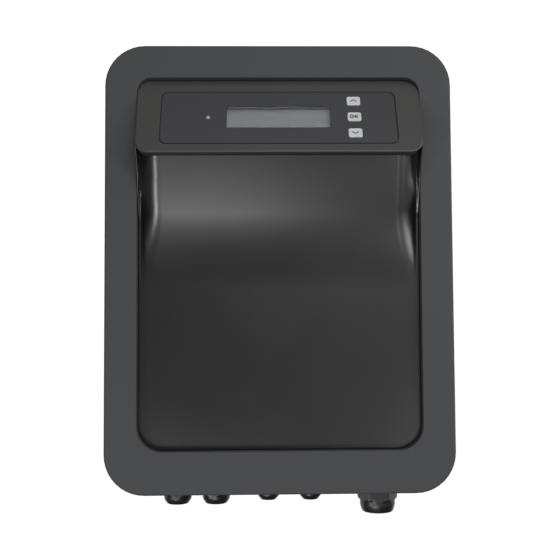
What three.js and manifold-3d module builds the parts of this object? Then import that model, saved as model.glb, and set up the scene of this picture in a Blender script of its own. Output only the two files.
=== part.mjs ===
// The wall-mounted control and power unit of a salt chlorine generator, as an assembly of separate pieces.
// Millimetres, +Z up, the front faces -Y. The housing is drawn about its own centre height, and the whole
// model is then lowered so that the origin lies on the wall, at the centre of the wall bracket's back face.
import * as THREE from "three";
import { mergeVertices } from "three/addons/utils/BufferGeometryUtils.js";
import Module from "manifold-3d";

// Overall sizes of the housing
const WIDTH = 225;
const HEIGHT = 290;
const DEPTH = 84; // from the wall to the frame's front face
const CORNER_R = 26;

// Clearances and common walls
const FIT = 0.3; // gap between two pieces that fit together
const CASE_WALL = 3;
const SKIN = 2.4; // wall of the fascia and the console head
const SCREW_PLAY = 0.3; // radial gap round a screw

// Front frame: a flat border round one large opening
const BORDER_SIDE = 20.8;
const BORDER_TOP = 21.2;
const BORDER_BOTTOM = 27.6;
const FRAME_SKIN = 3;
const SKIRT_DEPTH = 20;
const OPENING_R_TOP = 9.5;
const OPENING_R_BOTTOM = 16;
const FLANGE = 4; // how far the inner panels reach behind the frame's lip
const FLANGE_T = 2.2;

// Inner panel and its ramp
const PANEL_RECESS = 6; // lower panel behind the frame's front face
const NECK_INSET = 8.4; // from the opening's side to the neck's side
const NECK_FOOT_INSET = 0.6; // the same where the ramp has run out
const NECK_EDGE = 8; // width over which the neck's front turns into the cheek
const CHEEK_DEPTH = 8; // hollow beside the neck, behind the neck's front
const HOLLOW_R = 4.6; // rounding of the space inside the ramp
const RAMP_FLAT = 36; // height of the ramp's straight part
const RAMP_CURVE = 49; // height of the curve that runs out into the panel
const NOSE_UNDERCUT = 8;
const WING_DROP = 38; // height over which the side wings die away below the head
const WING_SETBACK = 4; // wing's upper end behind the nose
const WING_CURVE = 1.35;
const WING_FOOT_T = 2.4;
const WING_CREST_T = 1;

// Console head: a hood whose face leans back
const HEAD_TILT = THREE.MathUtils.degToRad(26);
const FACE_LENGTH = 59; // up the slope
const HEAD_TOP_RECESS = 4.9; // top edge of the face behind the frame's front face
const HEAD_R = 9.5;
const UNDERSIDE_DEPTH = 11;

// Keypad label on the face, in the face's own axes: x, up the slope, out of the face
const LABEL_MARGIN_SIDE = 16.4;
const LABEL_HEIGHT = 41.2;
const LABEL_DROP = 1.5; // label's centre below the middle of the face
const LABEL_T = 0.4;
const LABEL_RECESS = 0.6;
const LABEL_R = 4;
const WINDOW_W = 66;
const WINDOW_H = 17;
const KEY_W = 8.9;
const KEY_H = 6.8;
const KEY_R = 1.4;
const KEY_PITCH = 13;
const KEY_FROM_EDGE = 26.6; // key column from the label's right edge
const KEY_PROUD = 0.7;
const KEY_FLANGE = 1.1;
const KEY_TRAVEL = 0.5;
const LED_FROM_EDGE = 29.7; // light pipe from the label's left edge
const LED_R = 1.5;

// Display board behind the face
const BOARD_T = 1.6;
const DISPLAY_BOARD_H = 40;
const DISPLAY_BOARD_DEPTH = 10.6; // board's front below the face
const DISPLAY_BOARD_MARGIN = 4.5; // board's end inside the label's end
const LCD_FRAME_W = 72;
const LCD_FRAME_H = 26;
const LCD_VIEW_W = 68.5; // the metal frame leaves more of the glass open than the window shows
const LCD_VIEW_H = 22.6;
const LCD_FRAME_T = 6.6;
const LCD_FRAME_SHEET = 0.6;
const SWITCH_SIDE = 6;
const SWITCH_T = 3.5;
const PLUNGER = 1.2; // switch's plunger above its body

// Rear case
const CASE_INSET = 9; // case wall inside the frame's outline
const REAR_GAP = 16; // rear wall from the wall of the room
const RIM_T = 4; // thickness of the case's front rim
const RIM_RECESS = 14; // rim's front behind the frame's front face
const GASKET_T = 2;
const GASKET_W = 3.4;
const COVER_SCREW_INSET_X = 19.5;
const COVER_SCREW_INSET_Z = 20;
const TUNNEL_WALL = 1.5;
const TUNNEL_FLOOR = 5.5;
const SCREW_R = 1.95;
const SCREW_HEAD_R = 3.5;
const SCREW_HEAD_T = 2.6;
const BOSS_R = 4;
const COVER_SCREW_LENGTH = 17;
const FOOT_R = 8;
const FOOT_X = 70;
const FOOT_RISE = 24; // feet above the case's underside

// Wall bracket, folded from sheet
const BRACKET_RISE = 75; // bracket's centre above the housing's centre
const BRACKET_W = 150;
const BRACKET_H = 50;
const SHEET = 2;
const HOOK_X = 47;
const HOOK_W = 24;
const HOOK_RISE = 10;
const POCKET_WALL = 2.5;
const WALL_HOLE_R = 2.75;
const WALL_HOLE_X = 62;
const WALL_HOLE_Z = 12;

// Heat sink through the rear wall
const SINK_W = 100;
const SINK_H = 100;
const SINK_BASE = 4;
const SINK_LIP = 5;
const FIN_T = 1.8;
const FIN_COUNT = 10;
const FIN_END_GAP = 4; // fin tips from the wall of the room
const SINK_DROP = 20; // heat sink's centre below the housing's centre

// Power board
const POWER_BOARD_MARGIN = 22; // board's side from the case's side
const POWER_BOARD_H = 128;
const POWER_BOARD_LIFT = 15; // board's lower edge above the case floor
const POWER_BOARD_STANDOFF = 11;
const POST_R = 3.5;
const BOARD_SCREW_R = 1.4;
const BOARD_SCREW_HEAD_R = 2.7;
const BOARD_SCREW_HEAD_T = 1.8;
const BOARD_SCREW_LENGTH = 8;
const POST_INSET = 6;

// Parts on the power board: x from its centre line, up from its lower edge; sizes are x, forwards, z
const TERMINAL_DEPTH = 15;
const TERMINAL_HEIGHT = 13;
const TERMINAL_UP = 9;
const TERMINAL_WELL_R = 1.8;
const TERMINALS = [
  { name: "mains_terminal", width: 36, ways: 4, x: -56 },
  { name: "sensor_terminal", width: 30, ways: 6, x: 6 },
  { name: "cell_terminal", width: 32, ways: 2, x: 56 },
];
const CANS = [
  { name: "bulk_capacitor", radius: 11, tall: 32, x: -58, up: 86 },
  { name: "output_capacitor", radius: 8, tall: 24, x: 24, up: 40 },
];
const TRANSFORMER = { x: -12, up: 68, core: [42, 30, 14], coil: [30, 34, 36], base: [42, 6, 36] };
const FILTER_CHOKE = { x: -58, up: 48, core: [24, 20, 16], coil: [10, 26, 20], base: [26, 4, 24] };
const RELAY = { x: 56, up: 40, size: [29, 22, 26] };
const OUTPUT_CHOKE = { x: 46, up: 84, ring: 11, wire: 5.4 };
const FUSE = { x: -30, up: 28, high: 8.6, glassR: 2.2, capR: 2.6, capLength: 5, length: 21 };
const FUSE_CLIP = { base: [26, 5, 9], clip: [4, 11, 9] };

// Cable glands in the case floor: metric thread, and the position of each across the width
const GLAND_CLEAR = 15; // from the gland's axis to the case's rear wall
const GLAND_SIZES = {
  m12: { thread: 12, across: 15, flange: 5, hex: 11, dome: 4.6, tipR: 4.9, tipHole: 3.7, sealBore: 3.15 },
  m16: { thread: 16, across: 19, flange: 4, hex: 13, dome: 5.7, tipR: 7, tipHole: 5, sealBore: 4.3 },
  m20: { thread: 20, across: 24, flange: 4.6, hex: 16.8, dome: 8, tipR: 10, tipHole: 6.6, sealBore: 5.6 },
};
const GLANDS = [
  { name: "mains_gland", size: "m16", x: -70 },
  { name: "pump_gland", size: "m16", x: -43.5 },
  { name: "flow_gland", size: "m12", x: -7.5 },
  { name: "probe_gland", size: "m12", x: 21.5 },
  { name: "cell_gland", size: "m20", x: 68 },
];
const GLAND_INSIDE = 9; // spigot above the case floor's inner face
const LOCKNUT_T = 4;
const THREAD_PLAY = 0.25;
const NUT_GAP = 0.6;
const NUT_WALL_IN_THREAD = 0.4; // how far the nut's bore stands off the thread

// Places that follow from the sizes above
const FRAME_Y = -DEPTH;
const PANEL_Y = FRAME_Y + PANEL_RECESS;
const FLANGE_Y = PANEL_Y + SKIN + 0.2;
const OPENING = {
  x: WIDTH / 2 - BORDER_SIDE,
  top: HEIGHT / 2 - BORDER_TOP,
  bottom: -HEIGHT / 2 + BORDER_BOTTOM,
};
const INNER_X = OPENING.x - FIT;
const HEAD_TOP = OPENING.top - FIT;
const HEAD_TOP_Y = FRAME_Y + HEAD_TOP_RECESS;
const NOSE_Z = HEAD_TOP - FACE_LENGTH * Math.cos(HEAD_TILT);
const NOSE_Y = HEAD_TOP_Y - FACE_LENGTH * Math.sin(HEAD_TILT);
const NECK_Y = NOSE_Y + NOSE_UNDERCUT;
const CURVE_TOP = NOSE_Z - RAMP_FLAT;
const RAMP_END = CURVE_TOP - RAMP_CURVE;
const LABEL_W = 2 * (INNER_X - LABEL_MARGIN_SIDE);
const CASE_X = WIDTH / 2 - CASE_INSET;
const CASE_Z = HEIGHT / 2 - CASE_INSET;
const CASE_R = CORNER_R - CASE_INSET;
const REAR_Y = -REAR_GAP;
const REAR_IN_Y = REAR_Y - CASE_WALL;
const RIM_Y = FRAME_Y + RIM_RECESS;
const FLOOR_Z = -CASE_Z;
const COVER_SCREW_X = WIDTH / 2 - COVER_SCREW_INSET_X;
const COVER_SCREW_Z = HEIGHT / 2 - COVER_SCREW_INSET_Z;
const POWER_BOARD_Y = REAR_IN_Y - POWER_BOARD_STANDOFF; // the board's back face
const POWER_BOARD_X = CASE_X - POWER_BOARD_MARGIN;
const POWER_BOARD_BOTTOM = FLOOR_Z + CASE_WALL + POWER_BOARD_LIFT;
const PARTS_Y = POWER_BOARD_Y - BOARD_T; // components stand forwards from here
const GLAND_Y = REAR_IN_Y - GLAND_CLEAR;
const HOOK_Z = BRACKET_RISE + BRACKET_H / 2 - SHEET; // underside of the bracket's shelf

const wasm = await Module();
wasm.setup();

// A closed three.js geometry as a manifold solid
function solidOf(geometry) {
  const bare = geometry.index ? geometry.toNonIndexed() : geometry.clone();
  bare.deleteAttribute("normal");
  bare.deleteAttribute("uv");
  const merged = mergeVertices(bare, 1e-4);
  return new wasm.Manifold(
    new wasm.Mesh({
      numProp: 3,
      vertProperties: merged.attributes.position.array,
      triVerts: new Uint32Array(merged.index.array),
    }),
  );
}

function geometryOf(solid) {
  const mesh = solid.getMesh();
  const geometry = new THREE.BufferGeometry();
  geometry.setAttribute("position", new THREE.BufferAttribute(new Float32Array(mesh.vertProperties), 3));
  geometry.setIndex(new THREE.BufferAttribute(new Uint32Array(mesh.triVerts), 1));
  geometry.computeVertexNormals();
  return geometry;
}

const join = (first, ...rest) => rest.reduce((sum, next) => sum.add(next), first);
const cut = (first, ...rest) => rest.reduce((left, next) => left.subtract(next), first);

// Basic solids, all by their limits along x, y and z
function block(x0, x1, y0, y1, z0, z1) {
  const box = new THREE.BoxGeometry(x1 - x0, y1 - y0, z1 - z0);
  return solidOf(box.translate((x0 + x1) / 2, (y0 + y1) / 2, (z0 + z1) / 2));
}

function rodAlongY(radius, y0, y1, x, z, sides = 12) {
  return solidOf(new THREE.CylinderGeometry(radius, radius, y1 - y0, sides).translate(x, (y0 + y1) / 2, z));
}

function rodAlongZ(radius, z0, z1, x = 0, y = 0, sides = 12) {
  const rod = new THREE.CylinderGeometry(radius, radius, z1 - z0, sides).rotateX(Math.PI / 2);
  return solidOf(rod.translate(x, y, (z0 + z1) / 2));
}

function hexAlongZ(acrossFlats, z0, z1) {
  return rodAlongZ(acrossFlats / Math.sqrt(3), z0, z1, 0, 0, 6);
}

// Revolves a closed profile of [radius, z] points about Z, whichever way round it is given
function turned(profile, sides = 12) {
  const points = profile.map(([r, z]) => new THREE.Vector2(r, z));
  if (THREE.ShapeUtils.area(points) < 0) points.reverse();
  points.push(points[0].clone());
  return solidOf(new THREE.LatheGeometry(points, sides).rotateX(Math.PI / 2));
}

// A rectangle with its own radius for the lower and the upper corners
function roundedRect(x0, x1, z0, z1, lower, upper = lower) {
  const shape = new THREE.Shape();
  shape.moveTo(x0 + lower, z0);
  shape.lineTo(x1 - lower, z0);
  shape.absarc(x1 - lower, z0 + lower, lower, -Math.PI / 2, 0);
  shape.lineTo(x1, z1 - upper);
  shape.absarc(x1 - upper, z1 - upper, upper, 0, Math.PI / 2);
  shape.lineTo(x0 + upper, z1);
  shape.absarc(x0 + upper, z1 - upper, upper, Math.PI / 2, Math.PI);
  shape.lineTo(x0, z0 + lower);
  shape.absarc(x0 + lower, z0 + lower, lower, Math.PI, Math.PI * 1.5);
  return shape;
}

// A shape drawn in x and z, made solid between two depths
function plate(shape, yFront, yBack, segments = 6) {
  const options = { depth: yBack - yFront, bevelEnabled: false, curveSegments: segments };
  return solidOf(new THREE.ExtrudeGeometry(shape, options).rotateX(Math.PI / 2).translate(0, yBack, 0));
}

// The same outline grown outwards by a margin, which may be negative
function outlinePlate({ x, bottom, top, lower, upper }, margin, yFront, yBack, segments = 6) {
  const shape = roundedRect(
    -x - margin,
    x + margin,
    bottom - margin,
    top + margin,
    Math.max(lower + margin, 0.5),
    Math.max(upper + margin, 0.5),
  );
  return plate(shape, yFront, yBack, segments);
}

// A closed solid through sections with equal numbers of points, each anticlockwise seen from above
function loft(sections) {
  const count = sections[0].length;
  const last = (sections.length - 1) * count;
  const index = [];
  for (let i = 0; i < sections.length - 1; i++) {
    for (let j = 0; j < count; j++) {
      const a = i * count + j;
      const b = i * count + ((j + 1) % count);
      index.push(a, b, b + count, a, b + count, a + count);
    }
  }
  const flat = (section) => section.map((p) => new THREE.Vector2(p.x, p.y));
  const upward = (section) =>
    THREE.ShapeUtils.triangulateShape(flat(section), []).map((t) => {
      const area = THREE.ShapeUtils.area(t.map((k) => flat(section)[k]));
      return area > 0 ? t : [t[0], t[2], t[1]];
    });
  upward(sections[0]).forEach(([a, b, c]) => index.push(a, c, b));
  upward(sections.at(-1)).forEach(([a, b, c]) => index.push(last + a, last + b, last + c));
  const geometry = new THREE.BufferGeometry();
  const positions = sections.flat().flatMap((p) => [p.x, p.y, p.z]);
  geometry.setAttribute("position", new THREE.Float32BufferAttribute(positions, 3));
  geometry.setIndex(index);
  return solidOf(geometry);
}

// Materials
const finish = (color, roughness, metalness = 0) =>
  new THREE.MeshStandardMaterial({ color, roughness, metalness });
const MATERIALS = {
  frame: finish(0x4c4d50, 0.6),
  gloss: finish(0x2a292c, 0.16),
  head: finish(0x424243, 0.5),
  case: finish(0x37383a, 0.6),
  label: finish(0x3e3e40, 0.45),
  key: finish(0xc4c4c4, 0.45),
  window: finish(0x8a8d92, 0.08),
  lens: finish(0xc8c8cc, 0.15),
  lcd: finish(0x6f7a6a, 0.2),
  steel: finish(0xb9bcc0, 0.35, 1),
  zinc: finish(0xc2c5c8, 0.4, 1),
  aluminium: finish(0xaeb1b4, 0.4, 1),
  rubber: finish(0x17181a, 0.85),
  gland: finish(0x2b2b2d, 0.42),
  board: finish(0x1f5a34, 0.5),
  terminal: finish(0x2f7d4a, 0.5),
  component: finish(0x1c1c1e, 0.5),
  copper: finish(0xa8622f, 0.4, 1),
  sleeve: finish(0x23365a, 0.4),
  ribbon: finish(0x9a9a9c, 0.6),
  fuseGlass: finish(0xdfe6e8, 0.1),
};

const root = new THREE.Group();
const unit = new THREE.Group();
unit.position.z = -BRACKET_RISE;
root.add(unit);

// The console's own axes: x, y up the slope, z out of the face, from the middle of the face
const face = new THREE.Group();
face.position.set(0, (NOSE_Y + HEAD_TOP_Y) / 2, (NOSE_Z + HEAD_TOP) / 2);
face.rotation.x = Math.PI / 2 - HEAD_TILT;
face.updateMatrix();
unit.add(face);

function addPiece(name, solid, material, parent = unit) {
  const mesh = new THREE.Mesh(geometryOf(solid), MATERIALS[material]);
  mesh.name = name;
  parent.add(mesh);
  return mesh;
}

// A solid in the console's axes, turned into the housing's axes
const onFace = (solid) => solid.transform(face.matrix.elements);

// A rounded block in the console's axes
function facePad(width, height, radius, z0, z1, x = 0, y = 0) {
  const shape = roundedRect(x - width / 2, x + width / 2, y - height / 2, y + height / 2, radius);
  const options = { depth: z1 - z0, bevelEnabled: false, curveSegments: 3 };
  return solidOf(new THREE.ExtrudeGeometry(shape, options).translate(0, 0, z0));
}

const housingOutline = {
  x: WIDTH / 2,
  bottom: -HEIGHT / 2,
  top: HEIGHT / 2,
  lower: CORNER_R,
  upper: CORNER_R,
};
const openingOutline = {
  x: OPENING.x,
  bottom: OPENING.bottom,
  top: OPENING.top,
  lower: OPENING_R_BOTTOM,
  upper: OPENING_R_TOP,
};
const caseOutline = { x: CASE_X, bottom: -CASE_Z, top: CASE_Z, lower: CASE_R, upper: CASE_R };
const headOutline = { x: INNER_X, bottom: NOSE_Z, top: HEAD_TOP, lower: HEAD_R, upper: HEAD_R - FIT };

const corners = [
  [-1, 1],
  [1, 1],
  [-1, -1],
  [1, -1],
];

// ---- Enclosure ----

// Room for the frame's screw bosses in the flanges of the inner panels
const bossRoom = () =>
  corners.map(([sx, sz]) =>
    rodAlongY(BOSS_R + 2 * FIT, FLANGE_Y - 1, 0, sx * COVER_SCREW_X, sz * COVER_SCREW_Z),
  );

function frontFrame() {
  const skirt = cut(
    outlinePlate(housingOutline, 0, FRAME_Y, FRAME_Y + SKIRT_DEPTH),
    outlinePlate(housingOutline, -FRAME_SKIN, FRAME_Y + FRAME_SKIN, 0),
  );
  const lip = outlinePlate(openingOutline, SKIN, FRAME_Y + FRAME_SKIN - 1, FLANGE_Y - FIT);
  const sealRib = cut(
    outlinePlate(caseOutline, GASKET_W / 2, FRAME_Y + FRAME_SKIN - 1, RIM_Y - GASKET_T - FIT),
    outlinePlate(caseOutline, -GASKET_W / 2, FRAME_Y, 0),
  );
  const bossY = RIM_Y + RIM_T;
  const bosses = corners.map(([sx, sz]) =>
    rodAlongY(BOSS_R, FRAME_Y + FRAME_SKIN - 1, bossY - FIT, sx * COVER_SCREW_X, sz * COVER_SCREW_Z),
  );
  const pilots = corners.map(([sx, sz]) =>
    rodAlongY(SCREW_R + SCREW_PLAY, FRAME_Y + FRAME_SKIN + 1, 0, sx * COVER_SCREW_X, sz * COVER_SCREW_Z),
  );
  const body = join(skirt, lip, sealRib, ...bosses);
  return cut(body, outlinePlate(openingOutline, 0, FRAME_Y - 1, 0), ...pilots);
}

function rearCase() {
  const outer = outlinePlate(caseOutline, 0, RIM_Y, REAR_Y);
  const inner = outlinePlate(caseOutline, -CASE_WALL, RIM_Y - 1, REAR_IN_Y);
  const rim = cut(
    outlinePlate(housingOutline, -FRAME_SKIN - FIT, RIM_Y, RIM_Y + RIM_T),
    outlinePlate(caseOutline, -CASE_WALL, RIM_Y - 1, RIM_Y + RIM_T + 1),
  );
  const shell = join(cut(outer, inner), rim);

  const tunnelR = SCREW_HEAD_R + SCREW_PLAY + TUNNEL_WALL;
  const tunnelFront = RIM_Y + RIM_T;
  const at = corners.map(([sx, sz]) => [sx * COVER_SCREW_X, sz * COVER_SCREW_Z]);
  const tunnels = at.map(([x, z]) => rodAlongY(tunnelR, tunnelFront, REAR_Y, x, z));
  const bores = at.map(([x, z]) =>
    rodAlongY(SCREW_HEAD_R + SCREW_PLAY, tunnelFront + TUNNEL_FLOOR, 0, x, z),
  );
  const holes = at.map(([x, z]) => rodAlongY(SCREW_R + SCREW_PLAY, FRAME_Y, 0, x, z));

  const hookZ = HOOK_Z + SHEET + FIT; // top edge of the slot, which rests on the bracket's shelf
  const slotFloor = hookZ - HOOK_RISE - SHEET / 2 + FIT;
  const pocketTop = HOOK_Z + HOOK_RISE + 2 * FIT;
  const pocketY = REAR_IN_Y - SHEET - 3.5;
  const half = HOOK_W / 2 + 1.5;
  const pockets = [-1, 1].map((s) =>
    block(
      s * HOOK_X - half - POCKET_WALL,
      s * HOOK_X + half + POCKET_WALL,
      pocketY - POCKET_WALL,
      REAR_Y,
      slotFloor - POCKET_WALL,
      pocketTop + POCKET_WALL,
    ),
  );
  const hollows = [-1, 1].flatMap((s) => [
    block(s * HOOK_X - half, s * HOOK_X + half, pocketY, REAR_IN_Y, slotFloor, pocketTop),
    block(s * HOOK_X - half, s * HOOK_X + half, REAR_IN_Y - 1, 0, slotFloor, hookZ),
  ]);

  const sinkX = SINK_W / 2;
  const sinkWindow = block(
    -sinkX - FIT,
    sinkX + FIT,
    REAR_IN_Y - 1,
    0,
    -SINK_DROP - SINK_H / 2 - FIT,
    -SINK_DROP + SINK_H / 2 + FIT,
  );
  const clips = sinkClips();
  const posts = boardCorners().map(([x, z]) => rodAlongY(POST_R, POWER_BOARD_Y + FIT, REAR_IN_Y + 1, x, z));
  const postHoles = boardCorners().map(([x, z]) =>
    rodAlongY(BOARD_SCREW_R + SCREW_PLAY, POWER_BOARD_Y - 1, REAR_IN_Y - 1, x, z, 8),
  );
  const feet = [-1, 1].map((s) => rodAlongY(FOOT_R, REAR_Y - 1, 0, s * FOOT_X, FLOOR_Z + FOOT_RISE, 16));
  const glandHoles = GLANDS.map(({ x, size }) =>
    rodAlongZ(GLAND_SIZES[size].thread / 2 + THREAD_PLAY, FLOOR_Z - 1, FLOOR_Z + CASE_WALL + 1, x, GLAND_Y),
  );
  const solid = join(shell, ...tunnels, ...pockets, ...posts, ...feet, ...clips);
  return cut(solid, ...bores, ...holes, ...hollows, sinkWindow, ...postHoles, ...glandHoles);
}

// Two moulded hooks on each side of the window that hold the heat sink's base down
function sinkClips() {
  const reach = 2.5;
  const outside = SINK_W / 2 + SINK_LIP + FIT;
  const clips = [];
  for (const sx of [-1, 1]) {
    for (const sz of [-1, 1]) {
      const z = -SINK_DROP + (sz * SINK_H) / 4;
      const xs = [sx * outside, sx * (outside + reach)].sort((a, b) => a - b);
      const nose = [sx * (outside - reach), sx * (outside + reach)].sort((a, b) => a - b);
      const baseFront = REAR_IN_Y - SINK_BASE - 2 * FIT;
      clips.push(
        join(
          block(xs[0], xs[1], baseFront - 2, REAR_IN_Y + 1, z - 5, z + 5),
          block(nose[0], nose[1], baseFront - 2, baseFront, z - 5, z + 5),
        ),
      );
    }
  }
  return clips;
}

function boardCorners() {
  const x = POWER_BOARD_X - POST_INSET;
  const low = POWER_BOARD_BOTTOM + POST_INSET;
  const high = POWER_BOARD_BOTTOM + POWER_BOARD_H - POST_INSET;
  return [
    [-x, high],
    [x, low],
    [x, high],
    [-x, low],
  ];
}

function caseGasket() {
  const back = RIM_Y - FIT / 2;
  return cut(
    outlinePlate(caseOutline, GASKET_W / 2, back - GASKET_T, back),
    outlinePlate(caseOutline, -GASKET_W / 2, back - GASKET_T - 1, back + 1),
  );
}

// Depths of the inner panel's surface at height z: how far the neck and the side wings stand forward
function rampAt(z) {
  const fall = NECK_Y - PANEL_Y; // negative, towards the front
  const slope = -fall / (RAMP_FLAT + RAMP_CURVE / 2);
  let neckY = PANEL_Y;
  if (z >= CURVE_TOP) {
    neckY = NECK_Y + slope * (NOSE_Z - z);
  } else if (z > RAMP_END) {
    const t = (z - RAMP_END) / RAMP_CURVE;
    neckY = PANEL_Y - (slope * RAMP_CURVE * t * t) / 2;
  }
  const flare = THREE.MathUtils.smoothstep(z, RAMP_END, CURVE_TOP);
  const wing = THREE.MathUtils.clamp((z - (NOSE_Z - WING_DROP)) / (WING_DROP + HEAD_R), 0, 1);
  const wingFront = NOSE_Y + WING_SETBACK;
  return {
    neckY,
    neckX: INNER_X - THREE.MathUtils.lerp(NECK_FOOT_INSET, NECK_INSET, flare),
    wingY: PANEL_Y + (wingFront - PANEL_Y) * wing ** WING_CURVE,
    valleyY: Math.min(PANEL_Y, neckY + CHEEK_DEPTH),
  };
}

// Half of the outer section at height z: from the neck's flat front down the hollow cheek, then up the wing
function halfSection(z) {
  const { neckY, neckX, wingY, valleyY } = rampAt(z);
  const edge = new THREE.Vector2(neckX - NECK_EDGE, neckY);
  const foot = new THREE.Vector2(INNER_X - WING_FOOT_T, valleyY);
  const between = (across, down) => {
    const x = THREE.MathUtils.lerp(edge.x, foot.x, across);
    return new THREE.Vector2(x, THREE.MathUtils.lerp(edge.y, foot.y, down));
  };
  const cheek = new THREE.CubicBezierCurve(edge, between(0.5, 0.03), between(0.8, 0.8), foot);
  const points = cheek.getPoints(8).map((p) => [p.x, p.y]);
  points.push([INNER_X - WING_CREST_T, wingY], [INNER_X, wingY]);
  return points;
}

function rampSolid() {
  const top = NOSE_Z + HEAD_R + 2;
  const back = FLANGE_Y;
  const levels = [RAMP_END - 1];
  const step = 6;
  const count = Math.ceil((top - RAMP_END) / step);
  for (let i = 0; i <= count; i++) levels.push(RAMP_END + ((top - RAMP_END) * i) / count);
  // The lowest section is sunk into the sheet and slightly bowed, so that its end closes cleanly
  const sunk = (x) => SKIN / 2 - 0.5 * (x / INNER_X) ** 2;
  return loft(
    levels.map((z, i) => {
      const half = halfSection(z);
      const right = [...half, [INNER_X, back]];
      const left = right.map(([x, y]) => [-x, y]).reverse();
      return [...left, ...right].map(([x, y]) => {
        const depth = i === 0 && y < back ? y + sunk(x) : y;
        return new THREE.Vector3(x, depth, z);
      });
    }),
  );
}

function rampHollow() {
  const top = NOSE_Z + HEAD_R + 4;
  const bottom = RAMP_END + RAMP_CURVE * 0.4;
  const levels = [bottom, (bottom + CURVE_TOP) / 2, CURVE_TOP, NOSE_Z, top];
  return loft(
    levels.map((z) => {
      const { neckY } = rampAt(z);
      const x = INNER_X - NECK_INSET - SKIN;
      const y = neckY + SKIN;
      const r = HOLLOW_R;
      const half = [
        [x - r, y],
        [x - r * 0.3, y + r * 0.3],
        [x, y + r],
        [x, FLANGE_Y + 3 * FLANGE_T],
      ];
      const left = half.map(([px, py]) => [-px, py]).reverse();
      return [...left, ...half].map(([px, py]) => new THREE.Vector3(px, py, z));
    }),
  );
}

function fasciaPanel() {
  const outline = {
    x: INNER_X,
    bottom: OPENING.bottom + FIT,
    top: HEAD_TOP,
    lower: OPENING_R_BOTTOM - FIT,
    upper: OPENING_R_TOP,
  };
  const trim = outlinePlate(outline, 0, NOSE_Y - 10, FLANGE_Y + FLANGE_T + 1);
  const sheet = block(-INNER_X, INNER_X, PANEL_Y, FLANGE_Y, OPENING.bottom, NOSE_Z - FIT);
  const front = join(sheet, rampSolid()).intersect(trim);
  const flangeTop = NOSE_Z - FIT;
  const flange = outlinePlate(outline, FLANGE, FLANGE_Y, FLANGE_Y + FLANGE_T).intersect(
    block(-WIDTH, WIDTH, FRAME_Y, 0, -HEIGHT, flangeTop),
  );
  const window = block(
    -INNER_X + NECK_INSET,
    INNER_X - NECK_INSET,
    FLANGE_Y - 0.1,
    0,
    OPENING.bottom + BORDER_BOTTOM,
    NOSE_Z + 1,
  );
  const headRoom = outlinePlate(headOutline, FIT, NOSE_Y - 10, 0);
  return cut(join(front, flange), rampHollow(), window, headRoom, ...bossRoom());
}

function consoleHead() {
  const faceCut = onFace(block(-WIDTH, WIDTH, -HEIGHT, HEIGHT, 0, 60));
  const innerFaceCut = onFace(block(-WIDTH, WIDTH, -HEIGHT, HEIGHT, -SKIN, 60));
  const outer = cut(outlinePlate(headOutline, 0, NOSE_Y - 5, FLANGE_Y), faceCut);
  const inner = cut(outlinePlate(headOutline, -SKIN, NOSE_Y - 5, 0), innerFaceCut);
  const flange = outlinePlate(headOutline, FLANGE, FLANGE_Y, FLANGE_Y + FLANGE_T).intersect(
    block(-WIDTH, WIDTH, FRAME_Y, 0, NOSE_Z, HEIGHT),
  );
  const throat = block(
    -INNER_X + NECK_INSET,
    INNER_X - NECK_INSET,
    NOSE_Y + UNDERSIDE_DEPTH,
    0,
    NOSE_Z - 1,
    NOSE_Z + SKIN + 1,
  );
  const bosses = displayScrews().map(([x, y]) =>
    onFace(rodAlongZ(2 * BOARD_SCREW_R, -DISPLAY_BOARD_DEPTH + FIT, -SKIN + 1, x, y)),
  );
  const pilots = displayScrews().map(([x, y]) =>
    onFace(rodAlongZ(BOARD_SCREW_R + SCREW_PLAY, -DISPLAY_BOARD_DEPTH - 1, -SKIN, x, y, 8)),
  );
  const labelSeat = onFace(
    facePad(LABEL_W + 2 * FIT, LABEL_HEIGHT + 2 * FIT, LABEL_R, -LABEL_RECESS, 5, 0, -LABEL_DROP),
  );
  const windowHole = onFace(facePad(WINDOW_W + 2 * FIT, WINDOW_H + 2 * FIT, 1, -SKIN - 1, 1, 0, -LABEL_DROP));
  const keyHoles = keyRows().map((y) =>
    onFace(facePad(KEY_W + 2 * FIT, KEY_H + 2 * FIT, KEY_R, -SKIN - 1, 1, keyX(), y)),
  );
  const ledHole = onFace(rodAlongZ(LED_R + FIT, -SKIN - 1, 1, ledX(), -LABEL_DROP));
  const shell = join(cut(join(outer, flange), inner, throat), ...bosses);
  return cut(shell, labelSeat, windowHole, ...keyHoles, ledHole, ...pilots, ...bossRoom());
}

// ---- Console parts, in the face's own axes ----

const keyX = () => LABEL_W / 2 - KEY_FROM_EDGE;
const ledX = () => -LABEL_W / 2 + LED_FROM_EDGE;
const keyRows = () => [1, 0, -1].map((row) => -LABEL_DROP + row * KEY_PITCH);
const displayScrews = () => [-1, 1].map((s) => [s * (LABEL_W / 2 - DISPLAY_BOARD_MARGIN - 4), 0]);

function keypadLabel() {
  const bottom = -LABEL_RECESS + FIT / 2;
  const sheet = facePad(LABEL_W, LABEL_HEIGHT, LABEL_R - FIT, bottom, bottom + LABEL_T, 0, -LABEL_DROP);
  const holes = keyRows().map((y) => facePad(KEY_W + 2 * FIT, KEY_H + 2 * FIT, KEY_R, -1, 1, keyX(), y));
  const windowHole = facePad(WINDOW_W + 2 * FIT, WINDOW_H + 2 * FIT, 1, -1, 1, 0, -LABEL_DROP);
  return cut(sheet, ...holes, windowHole, rodAlongZ(LED_R + FIT, -1, 1, ledX(), -LABEL_DROP));
}

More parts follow.
